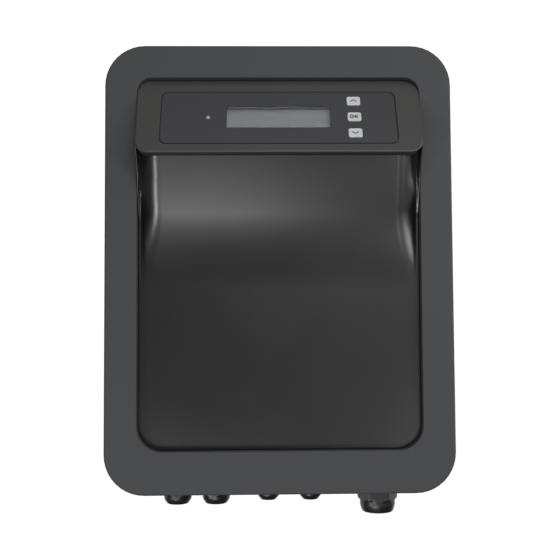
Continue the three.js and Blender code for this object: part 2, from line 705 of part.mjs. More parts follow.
function keyCap(y) {
  const cap = facePad(KEY_W, KEY_H, KEY_R, -SKIN - 1, KEY_PROUD, keyX(), y);
  const flangeTop = -SKIN - FIT;
  const flange = facePad(
    KEY_W + 2 * KEY_FLANGE,
    KEY_H + 2 * KEY_FLANGE,
    KEY_R,
    flangeTop - 0.9,
    flangeTop,
    keyX(),
    y,
  );
  const foot = switchTop() + KEY_TRAVEL + 0.1;
  return join(cap, flange, rodAlongZ(2, foot, flangeTop - 0.5, keyX(), y));
}

const switchTop = () => -DISPLAY_BOARD_DEPTH + FIT + SWITCH_T + PLUNGER;

function tactSwitch(y) {
  const x = keyX();
  const half = SWITCH_SIDE / 2;
  const base = -DISPLAY_BOARD_DEPTH + FIT;
  return join(
    block(x - half, x + half, y - half, y + half, base, base + SWITCH_T),
    rodAlongZ(1.7, base + SWITCH_T - 1, switchTop(), x, y),
  );
}

function displayWindow() {
  return facePad(WINDOW_W, WINDOW_H, 1, -SKIN + FIT, -LABEL_RECESS + FIT / 2 + LABEL_T, 0, -LABEL_DROP);
}

function ledLens() {
  const foot = -DISPLAY_BOARD_DEPTH + 1.4;
  return join(
    rodAlongZ(LED_R, foot, 0.2, ledX(), -LABEL_DROP),
    rodAlongZ(LED_R + 1, -SKIN - 1 - FIT, -SKIN - FIT, ledX(), -LABEL_DROP),
  );
}

function lcdFrame() {
  const front = -DISPLAY_BOARD_DEPTH + FIT + LCD_FRAME_T;
  const back = front - LCD_FRAME_T;
  const x = LCD_FRAME_W / 2;
  const y = LCD_FRAME_H / 2;
  const t = LCD_FRAME_SHEET;
  return cut(
    block(-x, x, -y - LABEL_DROP, y - LABEL_DROP, back, front),
    block(-x + t, x - t, -y - LABEL_DROP + t, y - LABEL_DROP - t, back - 1, front - t),
    facePad(LCD_VIEW_W, LCD_VIEW_H, 0.5, back, front + 1, 0, -LABEL_DROP),
  );
}

function lcdGlass() {
  const front = -DISPLAY_BOARD_DEPTH + LCD_FRAME_T - LCD_FRAME_SHEET;
  const x = LCD_FRAME_W / 2 - LCD_FRAME_SHEET - FIT;
  const y = LCD_FRAME_H / 2 - LCD_FRAME_SHEET - FIT;
  return block(-x, x, -y - LABEL_DROP, y - LABEL_DROP, front - 2.2, front);
}

function displayBoard() {
  const x = LABEL_W / 2 - DISPLAY_BOARD_MARGIN;
  const y = DISPLAY_BOARD_H / 2;
  const sheet = block(-x, x, -y, y, -DISPLAY_BOARD_DEPTH - BOARD_T, -DISPLAY_BOARD_DEPTH);
  const holes = displayScrews().map(([sx, sy]) => rodAlongZ(BOARD_SCREW_R + SCREW_PLAY, -20, 0, sx, sy, 8));
  return cut(sheet, ...holes);
}

function displayScrew([x, y]) {
  const back = -DISPLAY_BOARD_DEPTH - BOARD_T - FIT;
  return join(
    rodAlongZ(BOARD_SCREW_HEAD_R, back - BOARD_SCREW_HEAD_T, back, x, y),
    rodAlongZ(BOARD_SCREW_R, back - 0.5, back + BOARD_SCREW_LENGTH - 1, x, y, 8),
  );
}

// A flat ribbon that swings from the back of the display board down to the power board
function ribbonCable() {
  const start = new THREE.Vector3(0, -8, -DISPLAY_BOARD_DEPTH - BOARD_T - 1).applyMatrix4(face.matrix);
  const boardTop = POWER_BOARD_BOTTOM + POWER_BOARD_H;
  const route = new THREE.CatmullRomCurve3([
    new THREE.Vector3(0, start.y, start.z),
    new THREE.Vector3(0, start.y + 8, start.z - 8),
    new THREE.Vector3(0, start.y + 16, start.z - 24),
    new THREE.Vector3(0, (start.y + PARTS_Y) / 2, (start.z + boardTop) / 2 + 4),
    new THREE.Vector3(0, PARTS_Y - 12, boardTop + 2),
    new THREE.Vector3(0, PARTS_Y - 1, boardTop - 12),
  ]);
  const steps = 16;
  const half = 0.6;
  const left = [];
  const right = [];
  for (let i = 0; i <= steps; i++) {
    const p = route.getPoint(i / steps);
    const t = route.getTangent(i / steps);
    left.push([p.y - t.z * half, p.z + t.y * half]);
    right.unshift([p.y + t.z * half, p.z - t.y * half]);
  }
  const outline = [...left, ...right].map(([y, z]) => new THREE.Vector2(y, z));
  const width = 25;
  const strip = new THREE.ExtrudeGeometry(new THREE.Shape(outline), { depth: width, bevelEnabled: false });
  const turn = new THREE.Matrix4().makeBasis(
    new THREE.Vector3(0, 1, 0),
    new THREE.Vector3(0, 0, 1),
    new THREE.Vector3(1, 0, 0),
  );
  return solidOf(strip.applyMatrix4(turn).translate(-width / 2, 0, 0));
}

// ---- Rear pieces ----

function coverScrew(sx, sz) {
  const seat = RIM_Y + RIM_T + TUNNEL_FLOOR + FIT;
  const x = sx * COVER_SCREW_X;
  const z = sz * COVER_SCREW_Z;
  return join(
    rodAlongY(SCREW_HEAD_R, seat, seat + SCREW_HEAD_T, x, z),
    rodAlongY(SCREW_R, seat - COVER_SCREW_LENGTH, seat + 1, x, z, 10),
  );
}

function wallBracket() {
  const x = BRACKET_W / 2;
  const low = BRACKET_RISE - BRACKET_H / 2;
  const high = BRACKET_RISE + BRACKET_H / 2;
  const back = plate(roundedRect(-x, x, low, high, 4, 0.5), -SHEET, 0, 3);
  const shelf = block(-x, x, REAR_Y + FIT, -SHEET / 2, HOOK_Z, HOOK_Z + SHEET);
  const tip = REAR_IN_Y - SHEET - 0.6;
  const hooks = [-1, 1].flatMap((s) => {
    const x0 = s * HOOK_X - HOOK_W / 2;
    const x1 = s * HOOK_X + HOOK_W / 2;
    return [
      block(x0, x1, tip, REAR_Y + 1, HOOK_Z, HOOK_Z + SHEET),
      block(x0, x1, tip, tip + SHEET, HOOK_Z, HOOK_Z + HOOK_RISE),
    ];
  });
  const holes = corners.map(([sx, sz]) =>
    rodAlongY(WALL_HOLE_R, -5, 5, sx * WALL_HOLE_X, BRACKET_RISE + sz * WALL_HOLE_Z),
  );
  return cut(join(back, shelf, ...hooks), ...holes);
}

function heatSink() {
  const x = SINK_W / 2 + SINK_LIP;
  const z = SINK_H / 2 + SINK_LIP;
  const baseBack = REAR_IN_Y - FIT;
  const base = block(-x, x, baseBack - SINK_BASE, baseBack, -SINK_DROP - z, -SINK_DROP + z);
  const span = SINK_W - FIN_T;
  const low = -SINK_DROP - SINK_H / 2;
  const fins = Array.from({ length: FIN_COUNT }, (_, i) => {
    const fx = -SINK_W / 2 + (span * i) / (FIN_COUNT - 1);
    return block(fx, fx + FIN_T, baseBack - 1, -FIN_END_GAP, low, low + SINK_H);
  });
  return join(base, ...fins);
}

// ---- Power board and what stands on it. Places are from the board's lower edge and its centre line ----

function powerBoard() {
  const low = POWER_BOARD_BOTTOM;
  const sheet = block(-POWER_BOARD_X, POWER_BOARD_X, PARTS_Y, POWER_BOARD_Y, low, low + POWER_BOARD_H);
  const holes = boardCorners().map(([x, z]) => rodAlongY(BOARD_SCREW_R + SCREW_PLAY, -60, 0, x, z, 8));
  return cut(sheet, ...holes);
}

function boardScrew([x, z]) {
  const front = PARTS_Y - FIT;
  return join(
    rodAlongY(BOARD_SCREW_HEAD_R, front - BOARD_SCREW_HEAD_T, front, x, z),
    rodAlongY(BOARD_SCREW_R, front - 0.5, front + BOARD_SCREW_LENGTH, x, z, 8),
  );
}

function standing({ x, up }, [width, forwards, height], shift = 0) {
  const front = PARTS_Y - FIT;
  const cx = x + shift;
  const z = POWER_BOARD_BOTTOM + up;
  return block(cx - width / 2, cx + width / 2, front - forwards, front, z - height / 2, z + height / 2);
}

function terminalStrip({ width, ways, x }) {
  const body = standing({ x, up: TERMINAL_UP }, [width, TERMINAL_DEPTH, TERMINAL_HEIGHT]);
  const pitch = width / ways;
  const front = PARTS_Y - FIT - TERMINAL_DEPTH;
  const z = POWER_BOARD_BOTTOM + TERMINAL_UP + 2;
  const wells = Array.from({ length: ways }, (_, i) =>
    rodAlongY(TERMINAL_WELL_R, front - 1, front + 4, x - width / 2 + pitch * (i + 0.5), z, 8),
  );
  return cut(body, ...wells);
}

function standingCan({ radius, tall, x, up }) {
  const front = PARTS_Y - FIT;
  const z = POWER_BOARD_BOTTOM + up;
  const groove = 3; // the rolled groove that holds the can's seal
  return join(
    rodAlongY(radius, front - tall, front - groove, x, z, 16),
    rodAlongY(radius * 0.93, front - groove - 1, front - 1, x, z, 16),
    rodAlongY(radius, front - groove + 1, front, x, z, 16),
  );
}

const wound = (part) =>
  join(standing(part, part.core), standing(part, part.coil), standing(part, part.base));

function outputChoke() {
  const { x, up, ring, wire } = OUTPUT_CHOKE;
  const torus = new THREE.TorusGeometry(ring, wire, 8, 14).rotateX(Math.PI / 2);
  return solidOf(torus.translate(x, PARTS_Y - 2 * FIT - wire, POWER_BOARD_BOTTOM + up));
}

// A round bar along X on the fuse's centre line
function fuseBar(radius, length, shift = 0) {
  const bar = new THREE.CylinderGeometry(radius, radius, length, 10).rotateZ(Math.PI / 2);
  return solidOf(bar.translate(FUSE.x + shift, PARTS_Y - FIT - FUSE.high, POWER_BOARD_BOTTOM + FUSE.up));
}

const fuseEnd = (FUSE.length - FUSE.capLength) / 2;

function fuseHolder() {
  const clips = [-1, 1].map((s) => standing(FUSE, FUSE_CLIP.clip, s * fuseEnd));
  return cut(join(standing(FUSE, FUSE_CLIP.base), ...clips), fuseBar(FUSE.capR + FIT, FUSE.length * 2));
}

function fuse() {
  const caps = [-1, 1].map((s) => fuseBar(FUSE.capR, FUSE.capLength, s * fuseEnd));
  return join(fuseBar(FUSE.glassR, FUSE.length - FUSE.capLength), ...caps);
}

// ---- Cable glands, each drawn about its own axis with z = 0 on the case's underside ----

function glandBody(g) {
  const r = g.thread / 2 - THREAD_PLAY;
  const tailEnd = -g.flange - NUT_GAP - g.hex * 0.72;
  const stem = rodAlongZ(r, tailEnd, CASE_WALL + GLAND_INSIDE);
  const flange = hexAlongZ(g.across, -g.flange, -FIT);
  return cut(join(stem, flange), rodAlongZ(g.tipHole, -80, 80));
}

function glandNut(g) {
  const top = -g.flange - NUT_GAP;
  const shoulder = top - g.hex;
  const tip = shoulder - g.dome;
  const corner = g.across / Math.sqrt(3);
  const outside = turned([
    [0, top],
    [corner - 0.8, top],
    [corner, top - 1.4],
    [corner, shoulder + 1.6],
    [g.across / 2 - 0.3, shoulder],
    [(g.across / 2 + g.tipR) / 2 + 0.4, shoulder - g.dome * 0.62],
    [g.tipR, tip],
    [0, tip],
  ]);
  const dome = turned([
    [0, shoulder + 0.5],
    [g.across / 2 + 0.2, shoulder + 0.5],
    [g.across / 2, shoulder - g.dome * 0.2],
    [(g.across / 2 + g.tipR) / 2 + 0.4, shoulder - g.dome * 0.65],
    [g.tipR, tip],
    [0, tip],
  ]);
  const prism = hexAlongZ(g.across, shoulder, top).intersect(outside);
  const inside = turned([
    [0, top + 1],
    [g.thread / 2 + NUT_WALL_IN_THREAD, top + 1],
    [g.thread / 2 + NUT_WALL_IN_THREAD, shoulder + 1],
    [g.tipHole + 0.6, tip + 2],
    [g.tipHole, tip - 1],
    [0, tip - 1],
  ]);
  return cut(join(prism, dome), inside);
}

function glandSeal(g) {
  const threadEnd = -g.flange - NUT_GAP - g.hex * 0.72;
  const low = -g.flange - NUT_GAP - g.hex + 0.6;
  return turned([
    [g.sealBore, threadEnd - FIT],
    [g.sealBore, low],
    [g.tipHole - 0.2, low],
    [g.thread / 2 - THREAD_PLAY, threadEnd - 1.2],
    [g.thread / 2 - THREAD_PLAY, threadEnd - FIT],
  ]);
}

function glandLocknut(g) {
  const low = CASE_WALL + FIT;
  return cut(hexAlongZ(g.across + 1, low, low + LOCKNUT_T), rodAlongZ(g.thread / 2 + THREAD_PLAY, -5, 20));
}

// ---- Assembly ----

addPiece("wall_bracket", wallBracket(), "zinc");
addPiece("rear_case", rearCase(), "case");
addPiece("heat_sink", heatSink(), "aluminium");
addPiece("case_gasket", caseGasket(), "rubber");
addPiece("front_frame", frontFrame(), "frame");
addPiece("fascia_panel", fasciaPanel(), "gloss");
addPiece("console_head", consoleHead(), "head");
corners.forEach(([sx, sz], i) => addPiece(`cover_screw_${i + 1}`, coverScrew(sx, sz), "steel"));

addPiece("keypad_label", keypadLabel(), "label", face);
addPiece("display_window", displayWindow(), "window", face);
addPiece("status_light_pipe", ledLens(), "lens", face);
["up", "ok", "down"].forEach((name, i) => {
  addPiece(`key_${name}`, keyCap(keyRows()[i]), "key", face);
  addPiece(`key_switch_${name}`, tactSwitch(keyRows()[i]), "component", face);
});
addPiece("display_board", displayBoard(), "board", face);
addPiece("lcd_frame", lcdFrame(), "steel", face);
addPiece("lcd_glass", lcdGlass(), "lcd", face);
displayScrews().forEach((at, i) => addPiece(`display_screw_${i + 1}`, displayScrew(at), "steel", face));
addPiece("ribbon_cable", ribbonCable(), "ribbon");

addPiece("power_board", powerBoard(), "board");
boardCorners()
  .slice(0, 2)
  .forEach((at, i) => addPiece(`board_screw_${i + 1}`, boardScrew(at), "steel"));
TERMINALS.forEach((strip) => addPiece(strip.name, terminalStrip(strip), "terminal"));
CANS.forEach((can) => addPiece(can.name, standingCan(can), "sleeve"));
addPiece("main_transformer", wound(TRANSFORMER), "component");
addPiece("filter_choke", wound(FILTER_CHOKE), "component");
addPiece("output_choke", outputChoke(), "copper");
addPiece("polarity_relay", standing(RELAY, RELAY.size), "component");
addPiece("fuse_holder", fuseHolder(), "component");
addPiece("fuse", fuse(), "fuseGlass");

for (const { name, size, x } of GLANDS) {
  const g = GLAND_SIZES[size];
  const place = new THREE.Group();
  place.position.set(x, GLAND_Y, FLOOR_Z);
  unit.add(place);
  addPiece(`${name}_body`, glandBody(g), "gland", place);
  addPiece(`${name}_nut`, glandNut(g), "gland", place);
  addPiece(`${name}_seal`, glandSeal(g), "rubber", place);
  addPiece(`${name}_locknut`, glandLocknut(g), "gland", place);
}

export default root;
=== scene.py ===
import math

import bmesh
import bpy
from mathutils import Matrix, Vector


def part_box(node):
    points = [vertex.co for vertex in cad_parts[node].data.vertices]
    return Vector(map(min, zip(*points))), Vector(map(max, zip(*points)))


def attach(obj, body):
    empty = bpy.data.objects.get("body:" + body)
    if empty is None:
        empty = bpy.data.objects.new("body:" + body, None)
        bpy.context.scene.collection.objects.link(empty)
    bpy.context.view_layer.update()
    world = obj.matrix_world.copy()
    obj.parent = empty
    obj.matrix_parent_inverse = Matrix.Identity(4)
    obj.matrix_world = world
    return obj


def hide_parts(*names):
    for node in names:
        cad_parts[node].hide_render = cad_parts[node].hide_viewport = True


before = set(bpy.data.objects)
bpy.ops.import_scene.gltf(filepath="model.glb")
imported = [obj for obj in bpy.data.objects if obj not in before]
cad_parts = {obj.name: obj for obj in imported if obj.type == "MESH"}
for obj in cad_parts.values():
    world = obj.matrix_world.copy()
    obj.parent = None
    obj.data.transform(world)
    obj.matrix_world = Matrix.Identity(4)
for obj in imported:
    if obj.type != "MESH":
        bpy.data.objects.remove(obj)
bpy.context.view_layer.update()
print("frame loaded:", len(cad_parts), "nodes")

# Shapes are drawn in millimetres from the housing's centre: x right, y into the wall, z up
mm = 0.001
frameLow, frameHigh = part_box("front_frame")
housing = {
    "centreZ": (frameLow.z + frameHigh.z) / 2,
    "halfWidth": (frameHigh.x - frameLow.x) / 2 / mm,
    "halfHeight": (frameHigh.z - frameLow.z) / 2 / mm,
    "frontY": frameLow.y / mm,
    "backY": frameHigh.y / mm,
    "cornerR": 26,
    "skin": 3,
    "edgeR": 1.6,
    "lipEdgeR": 0.5,
    "lipDepth": 8.3,
    "lipWall": 2.4,
}
border = {"side": 20.8, "above": 21.2, "below": 27.6}  # width of the frame round its opening
opening = {
    "halfWidth": housing["halfWidth"] - border["side"],
    "top": housing["halfHeight"] - border["above"],
    "bottom": -housing["halfHeight"] + border["below"],
    "lowerR": 16,
    "upperR": 9.5,
}
gap = 0.3  # between pieces that fit together
innerX = opening["halfWidth"] - gap
mergeWithin = 0.002 * mm  # points closer than this are one point


def hexToLinear(code, scale=1):
    channels = [int(code[i : i + 2], 16) / 255 for i in (0, 2, 4)]
    linear = [c / 12.92 if c <= 0.04045 else ((c + 0.055) / 1.055) ** 2.4 for c in channels]
    return (*[min(c * scale, 1) for c in linear], 1)


def lerp(a, b, t):
    return a + (b - a) * t


def smoothstep(x, low, high):
    t = min(max((x - low) / (high - low), 0), 1)
    return t * t * (3 - 2 * t)


def addNode(tree, kind, inputs=None, **settings):
    node = tree.nodes.new(kind)
    for name, value in settings.items():
        setattr(node, name, value)
    for name, value in (inputs or {}).items():
        if isinstance(value, bpy.types.NodeSocket):
            tree.links.new(value, node.inputs[name])
        else:
            node.inputs[name].default_value = value
    return node


def perMetre(size):
    return 1 / (size * mm)  # texture scale for a pattern that repeats every so many millimetres


waveRepeat = 20  # a wave texture draws about this many bands per unit of its scale


def startMaterial(name, roughness, metallic=0, ior=1.5, sockets=None):
    material = bpy.data.materials.new(name)
    material.use_nodes = True
    tree = material.node_tree
    shader = tree.nodes["Principled BSDF"]
    shader.inputs["Roughness"].default_value = roughness
    shader.inputs["Metallic"].default_value = metallic
    if not metallic:
        shader.inputs["IOR"].default_value = ior
    for socket, value in (sockets or {}).items():
        shader.inputs[socket].default_value = value
    place = addNode(tree, "ShaderNodeTexCoord").outputs["Object"]
    return material, tree, shader, place


# A fine noise gives relief, and a slow cloud drifts through the colour and the roughness. grain, depth and
# cloud are in millimetres. With ridges, the relief is a wave, whose pitch is grain and whose height is depth.
def grainMaterial(
    name, colour, roughness, grain, depth, cloud=35, mottle=0.08, spread=0.05, stretch=(1, 1, 1),
    ridges=None, **base,
):
    material, tree, shader, place = startMaterial(name, roughness, **base)
    along = addNode(tree, "ShaderNodeMapping", {"Vector": place, "Scale": stretch}).outputs["Vector"]
    if ridges:
        relief = addNode(
            tree, "ShaderNodeTexWave",
            {"Vector": along, "Scale": perMetre(grain) / waveRepeat, "Distortion": ridges["distortion"]},
            wave_type=ridges["wave"],
        ).outputs["Fac"]
    else:
        relief = addNode(
            tree, "ShaderNodeTexNoise",
            {"Vector": along, "Scale": perMetre(grain), "Detail": 3.0, "Roughness": 0.55},
        ).outputs["Fac"]
    clouds = addNode(
        tree, "ShaderNodeTexNoise", {"Vector": along, "Scale": perMetre(cloud), "Detail": 2.0}
    ).outputs["Fac"]
    tint = addNode(
        tree, "ShaderNodeMix",
        {0: clouds, 6: hexToLinear(colour, 1 - mottle), 7: hexToLinear(colour, 1 + mottle)},
        data_type="RGBA",
    )
    tree.links.new(tint.outputs[2], shader.inputs["Base Color"])
    polish = addNode(
        tree, "ShaderNodeMapRange",
        {"Value": clouds, "To Min": max(roughness - spread, 0.02), "To Max": min(roughness + spread, 1)},
    )
    tree.links.new(polish.outputs["Result"], shader.inputs["Roughness"])
    bump = addNode(tree, "ShaderNodeBump", {"Height": relief, "Strength": 1.0, "Distance": depth * mm})
    tree.links.new(bump.outputs["Normal"], shader.inputs["Normal"])
    return material


def inHousing(points):
    return [(x * mm, y * mm, z * mm + housing["centreZ"]) for x, y, z in points]


# Links, rides and finishes a mesh that is already in the row's own metres
def settle(name, mesh, material, body, replaces=(), sharp=35):
    bm = bmesh.new()
    bm.from_mesh(mesh)
    bmesh.ops.remove_doubles(bm, verts=bm.verts, dist=mergeWithin)
    bmesh.ops.recalc_face_normals(bm, faces=bm.faces)
    bm.to_mesh(mesh)
    bm.free()
    mesh.shade_smooth()
    mesh.set_sharp_from_angle(angle=math.radians(sharp))
    mesh = applied(mesh, [("WEIGHTED_NORMAL", {"keep_sharp": True})])
    mesh.name = name
    mesh.materials.clear()
    mesh.materials.append(material)
    piece = bpy.data.objects.new(name, mesh)
    bpy.context.scene.collection.objects.link(piece)
    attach(piece, body)
    if replaces:
        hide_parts(*replaces)
    return piece


def makePiece(name, points, faces, material, body="control_unit", replaces=(), sharp=35):
    mesh = bpy.data.meshes.new(name)
    mesh.from_pydata(inHousing(points), [], faces)
    return settle(name, mesh, material, body, replaces, sharp)


def applied(mesh, modifiers):
    holder = bpy.data.objects.new("holder", mesh)
    bpy.context.scene.collection.objects.link(holder)
    for kind, settings in modifiers:
        modifier = holder.modifiers.new(kind.lower(), kind)
        for name, value in settings.items():
            setattr(modifier, name, value)
    result = bpy.data.meshes.new_from_object(holder.evaluated_get(bpy.context.evaluated_depsgraph_get()))
    bpy.data.objects.remove(holder)
    return result


# A rounded rectangle as points, anticlockwise seen from the front, always the same count
def roundedOutline(halfX, low, high, lowerR, upperR, cornerSteps=10, sideSteps=8):
    lowerR, upperR = max(lowerR, 0.05), max(upperR, 0.05)
    corners = [
        (halfX - lowerR, low + lowerR, lowerR, -90),
        (halfX - upperR, high - upperR, upperR, 0),
        (-halfX + upperR, high - upperR, upperR, 90),
        (-halfX + lowerR, low + lowerR, lowerR, 180),
    ]
    arcs = []
    for cx, cz, r, start in corners:
        angles = [math.radians(start + 90 * i / cornerSteps) for i in range(cornerSteps + 1)]
        arcs.append([(cx + r * math.cos(a), cz + r * math.sin(a)) for a in angles])
    points = []
    for arc, following in zip(arcs, arcs[1:] + arcs[:1]):
        points += arc
        (x0, z0), (x1, z1) = arc[-1], following[0]
        points += [(lerp(x0, x1, k / sideSteps), lerp(z0, z1, k / sideSteps)) for k in range(1, sideSteps)]
    return points


# Joins equal loops into a skin; ring also joins the last to the first, and unclosed leaves a gap in each
def skinLoops(loops, ring=False, capFirst=False, capLast=False, unclosed=False):
    count = len(loops[0])
    points = [p for loop in loops for p in loop]
    faces = []
    for i in range(len(loops) if ring else len(loops) - 1):
        a, b = i * count, ((i + 1) % len(loops)) * count
        sides = range(count - 1 if unclosed else count)
        faces += [(a + j, a + (j + 1) % count, b + (j + 1) % count, b + j) for j in sides]
    if capFirst:
        faces.append(tuple(range(count))[::-1])
    if capLast:
        faces.append(tuple(range(len(points) - count, len(points))))
    return points, faces


# Quarter-round as pairs: how far in from the side, and how far back from the front
def quarterRound(radius, steps=4):
    angles = [math.radians(90 * i / steps) for i in range(steps + 1)]
    return [(radius * (1 - math.cos(a)), radius * (1 - math.sin(a))) for a in angles]


# A flat face with holes, filled between loops of points that all lie on it
def flatFill(loops):
    bm = bmesh.new()
    edges = []
    for loop in loops:
        verts = [bm.verts.new(p) for p in loop]
        edges += [bm.edges.new((verts[i], verts[(i + 1) % len(verts)])) for i in range(len(verts))]
    bmesh.ops.triangle_fill(bm, use_beauty=True, use_dissolve=False, edges=edges)
    bm.verts.index_update()
    points = [tuple(v.co) for v in bm.verts]
    faces = [tuple(v.index for v in f.verts) for f in bm.faces]
    bm.free()
    return points, faces


def together(*parts):
    points, faces = [], []
    for somePoints, someFaces in parts:
        start = len(points)
        points += somePoints
        faces += [tuple(i + start for i in face) for face in someFaces]
    return points, faces


# Turns a profile of (radius, height) about an axis; shape(angle, radius, height) may change the radius
def turned(profile, place, steps, shape=None):
    loops = []
    for r, h in profile:
        loop = []
        for i in range(steps):
            a = 2 * math.pi * i / steps
            radius = shape(a, r, h) if shape else r
            loop.append(place(radius * math.cos(a), radius * math.sin(a), h))
        loops.append(loop)
    return loops


# A CAD node's own shape with its hard edges eased, which then stands for that node
def easedCopy(node, material, width, body="control_unit"):
    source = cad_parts[node].data.copy()
    bm = bmesh.new()
    bm.from_mesh(source)
    bmesh.ops.remove_doubles(bm, verts=bm.verts, dist=mergeWithin)
    bmesh.ops.dissolve_limit(bm, angle_limit=math.radians(0.5), verts=bm.verts, edges=bm.edges)
    bm.to_mesh(source)
    bm.free()
    bevel = {
        "width": width * mm,
        "segments": 2,
        "limit_method": "ANGLE",
        "angle_limit": math.radians(40),
        "use_clamp_overlap": True,
    }
    return settle(node + "_eased", applied(source, [("BEVEL", bevel)]), material, body, (node,), 42)


# Spark-eroded ABS: the tool's pits leave a dull, even grain. The real pits are near 0.1 mm; they are
# drawn several times coarser, so that they show.
frameAbs = grainMaterial(
    "moulded ABS, anthracite, eroded grain", "303134", 0.75, grain=0.55, depth=0.02, cloud=60, mottle=0.05,
    ior=1.53,
)
# A finer erosion than the frame's: the same dull look with a slight sheen
headAbs = grainMaterial(
    "moulded ABS, charcoal, satin", "30302f", 0.55, grain=0.6, depth=0.012, cloud=50, mottle=0.04, ior=1.53
)
caseAbs = grainMaterial(
    "moulded ABS, dark grey, dull", "2c2d2f", 0.6, grain=0.7, depth=0.025, cloud=45, mottle=0.06, ior=1.53
)
# Moulded against polished steel: broad soft reflections, with the faint waviness of the flow in the tool
glossAbs = grainMaterial(
    "moulded ABS, black, polished tool", "0b0b0c", 0.3, grain=12, depth=0.006, cloud=30, mottle=0.15,
    spread=0.02, ior=1.68,
)
# Printed on its back, so the eye sees the film's own even satin skin over flat ink
labelFilm = grainMaterial(
    "polyester film, reverse printed", "242528", 0.5, grain=0.5, depth=0.006, cloud=50, mottle=0.03, ior=1.6
)
# Silicone scatters light just under its skin, so the keys look soft and even, with no sharp shine
keyPlastic = grainMaterial(
    "moulded silicone, light grey keys", "b4b5b6", 0.5, grain=0.5, depth=0.01, cloud=6, mottle=0.03, ior=1.43
)
keyInk = grainMaterial(
    "screen-printed ink, dark grey", "1f2022", 0.5, grain=0.4, depth=0.004, cloud=4, ior=1.5
)
# Nylon from a polished tool: small, soft glints along the flats' edges
glandNylon = grainMaterial(
    "moulded nylon, black, satin", "080809", 0.38, grain=0.8, depth=0.008, cloud=8, mottle=0.15,
    spread=0.08, ior=1.53,
)
# Rubber is near black and almost without shine
rubber = grainMaterial("moulded EPDM rubber", "0c0c0d", 0.8, grain=0.6, depth=0.03, cloud=10, ior=1.52)
# Zinc plating: a bright metal whose crystals and passivation drift in tone over a few millimetres
zincSteel = grainMaterial(
    "zinc-plated steel sheet", "b3b7bb", 0.38, grain=1.2, depth=0.008, cloud=9, mottle=0.12,
    spread=0.1, metallic=1,
)
stainless = grainMaterial(
    "stainless steel, cold headed", "b9bbbd", 0.3, grain=0.4, depth=0.01, cloud=3, mottle=0.08, metallic=1
)
# Extrusion drags fine lines along the profile, so the noise is drawn out along z
aluminium = grainMaterial(
    "aluminium, extruded, natural anodised", "a2a5a8", 0.42, grain=0.9, depth=0.02, cloud=12, mottle=0.08,
    spread=0.08, stretch=(1, 1, 0.04), metallic=1,
)
# Solder mask pools over copper and weave, which gives a glossy green that drifts in depth
boardMask = grainMaterial(
    "glass-fibre board, green solder mask", "17502c", 0.35, grain=0.9, depth=0.02, cloud=7, mottle=0.3,
    ior=1.55,
)
terminalNylon = grainMaterial(
    "moulded nylon, green", "2a7443", 0.45, grain=0.7, depth=0.02, cloud=8, ior=1.53
)
blackComponent = grainMaterial(
    "epoxy moulding, black", "161618", 0.5, grain=0.5, depth=0.02, cloud=6, ior=1.55
)
ferrite = grainMaterial(
    "sintered ferrite, taped winding", "1e1e21", 0.6, grain=0.8, depth=0.04, cloud=9, ior=1.6
)
sleeveFilm = grainMaterial(
    "PVC heat-shrink sleeve, blue", "1c2f55", 0.3, grain=2, depth=0.01, cloud=9, ior=1.54
)
# Milky acrylic: pale where light enters it, with a smooth moulded tip
lightPipe = grainMaterial("acrylic, milky, moulded", "88888c", 0.3, grain=0.8, depth=0.004, cloud=4, ior=1.49)
# Enamelled wire wound round a ring: fine parallel turns with a clear varnish over copper
woundCopper = grainMaterial(
    "enamelled copper, wound", "a0551f", 0.3, grain=1.1, depth=0.3, cloud=5, mottle=0.2, metallic=1,
    ridges={"wave": "RINGS", "distortion": 0.4},
)
# Flat cable: parallel cores 1.27 mm apart raise ridges across its width
flatCable = grainMaterial(
    "PVC flat cable, grey", "8c8c8e", 0.5, grain=1.27, depth=0.4, cloud=10, ior=1.54,
    ridges={"wave": "BANDS", "distortion": 0},
)


# Liquid crystal cell, unlit: a grey polariser with the faint raster of its character cells
def lcdCell():
    raster = {"pitch": 3.55, "rise": 1.7, "line": 0.06}
    material, tree, shader, place = startMaterial("liquid crystal cell, grey polariser", 0.25, ior=1.52)
    cells = addNode(
        tree, "ShaderNodeTexBrick",
        {
            "Vector": place, "Color1": hexToLinear("cdced0"), "Color2": hexToLinear("cacbcd"),
            "Mortar": hexToLinear("c0c1c4"), "Scale": 1.0, "Mortar Size": raster["line"] * mm,
            "Brick Width": raster["pitch"] * mm, "Row Height": raster["pitch"] * raster["rise"] * mm,
        },
        offset=0.0,
    )
    tree.links.new(cells.outputs["Color"], shader.inputs["Base Color"])
    grain = addNode(tree, "ShaderNodeTexNoise", {"Vector": place, "Scale": perMetre(0.6)})
    relief = addNode(
        tree, "ShaderNodeBump", {"Height": grain.outputs["Fac"], "Strength": 0.3, "Distance": 0.01 * mm}
    )
    tree.links.new(relief.outputs["Normal"], shader.inputs["Normal"])
    return material


# Clear and almost smooth: the eye sees through it, and a slight haze softens what it mirrors
def clearPane(name, colour, roughness, ior):
    material, tree, shader, place = startMaterial(
        name, roughness, ior=ior, sockets={"Transmission Weight": 1.0, "Base Color": hexToLinear(colour)}
    )
    haze = addNode(tree, "ShaderNodeTexNoise", {"Vector": place, "Scale": perMetre(7), "Detail": 2.0})
    polish = addNode(
        tree, "ShaderNodeMapRange",
        {"Value": haze.outputs["Fac"], "To Min": roughness, "To Max": roughness + 0.05},
    )
    tree.links.new(polish.outputs["Result"], shader.inputs["Roughness"])
    return material


acrylicPane = clearPane("acrylic sheet, faint grey, cast", "dfe2e4", 0.04, 1.49)
fuseGlass = clearPane("soda-lime glass, drawn tube", "e9efed", 0.03, 1.52)
lcdPanel = lcdCell()
print("materials made:", len(bpy.data.materials))


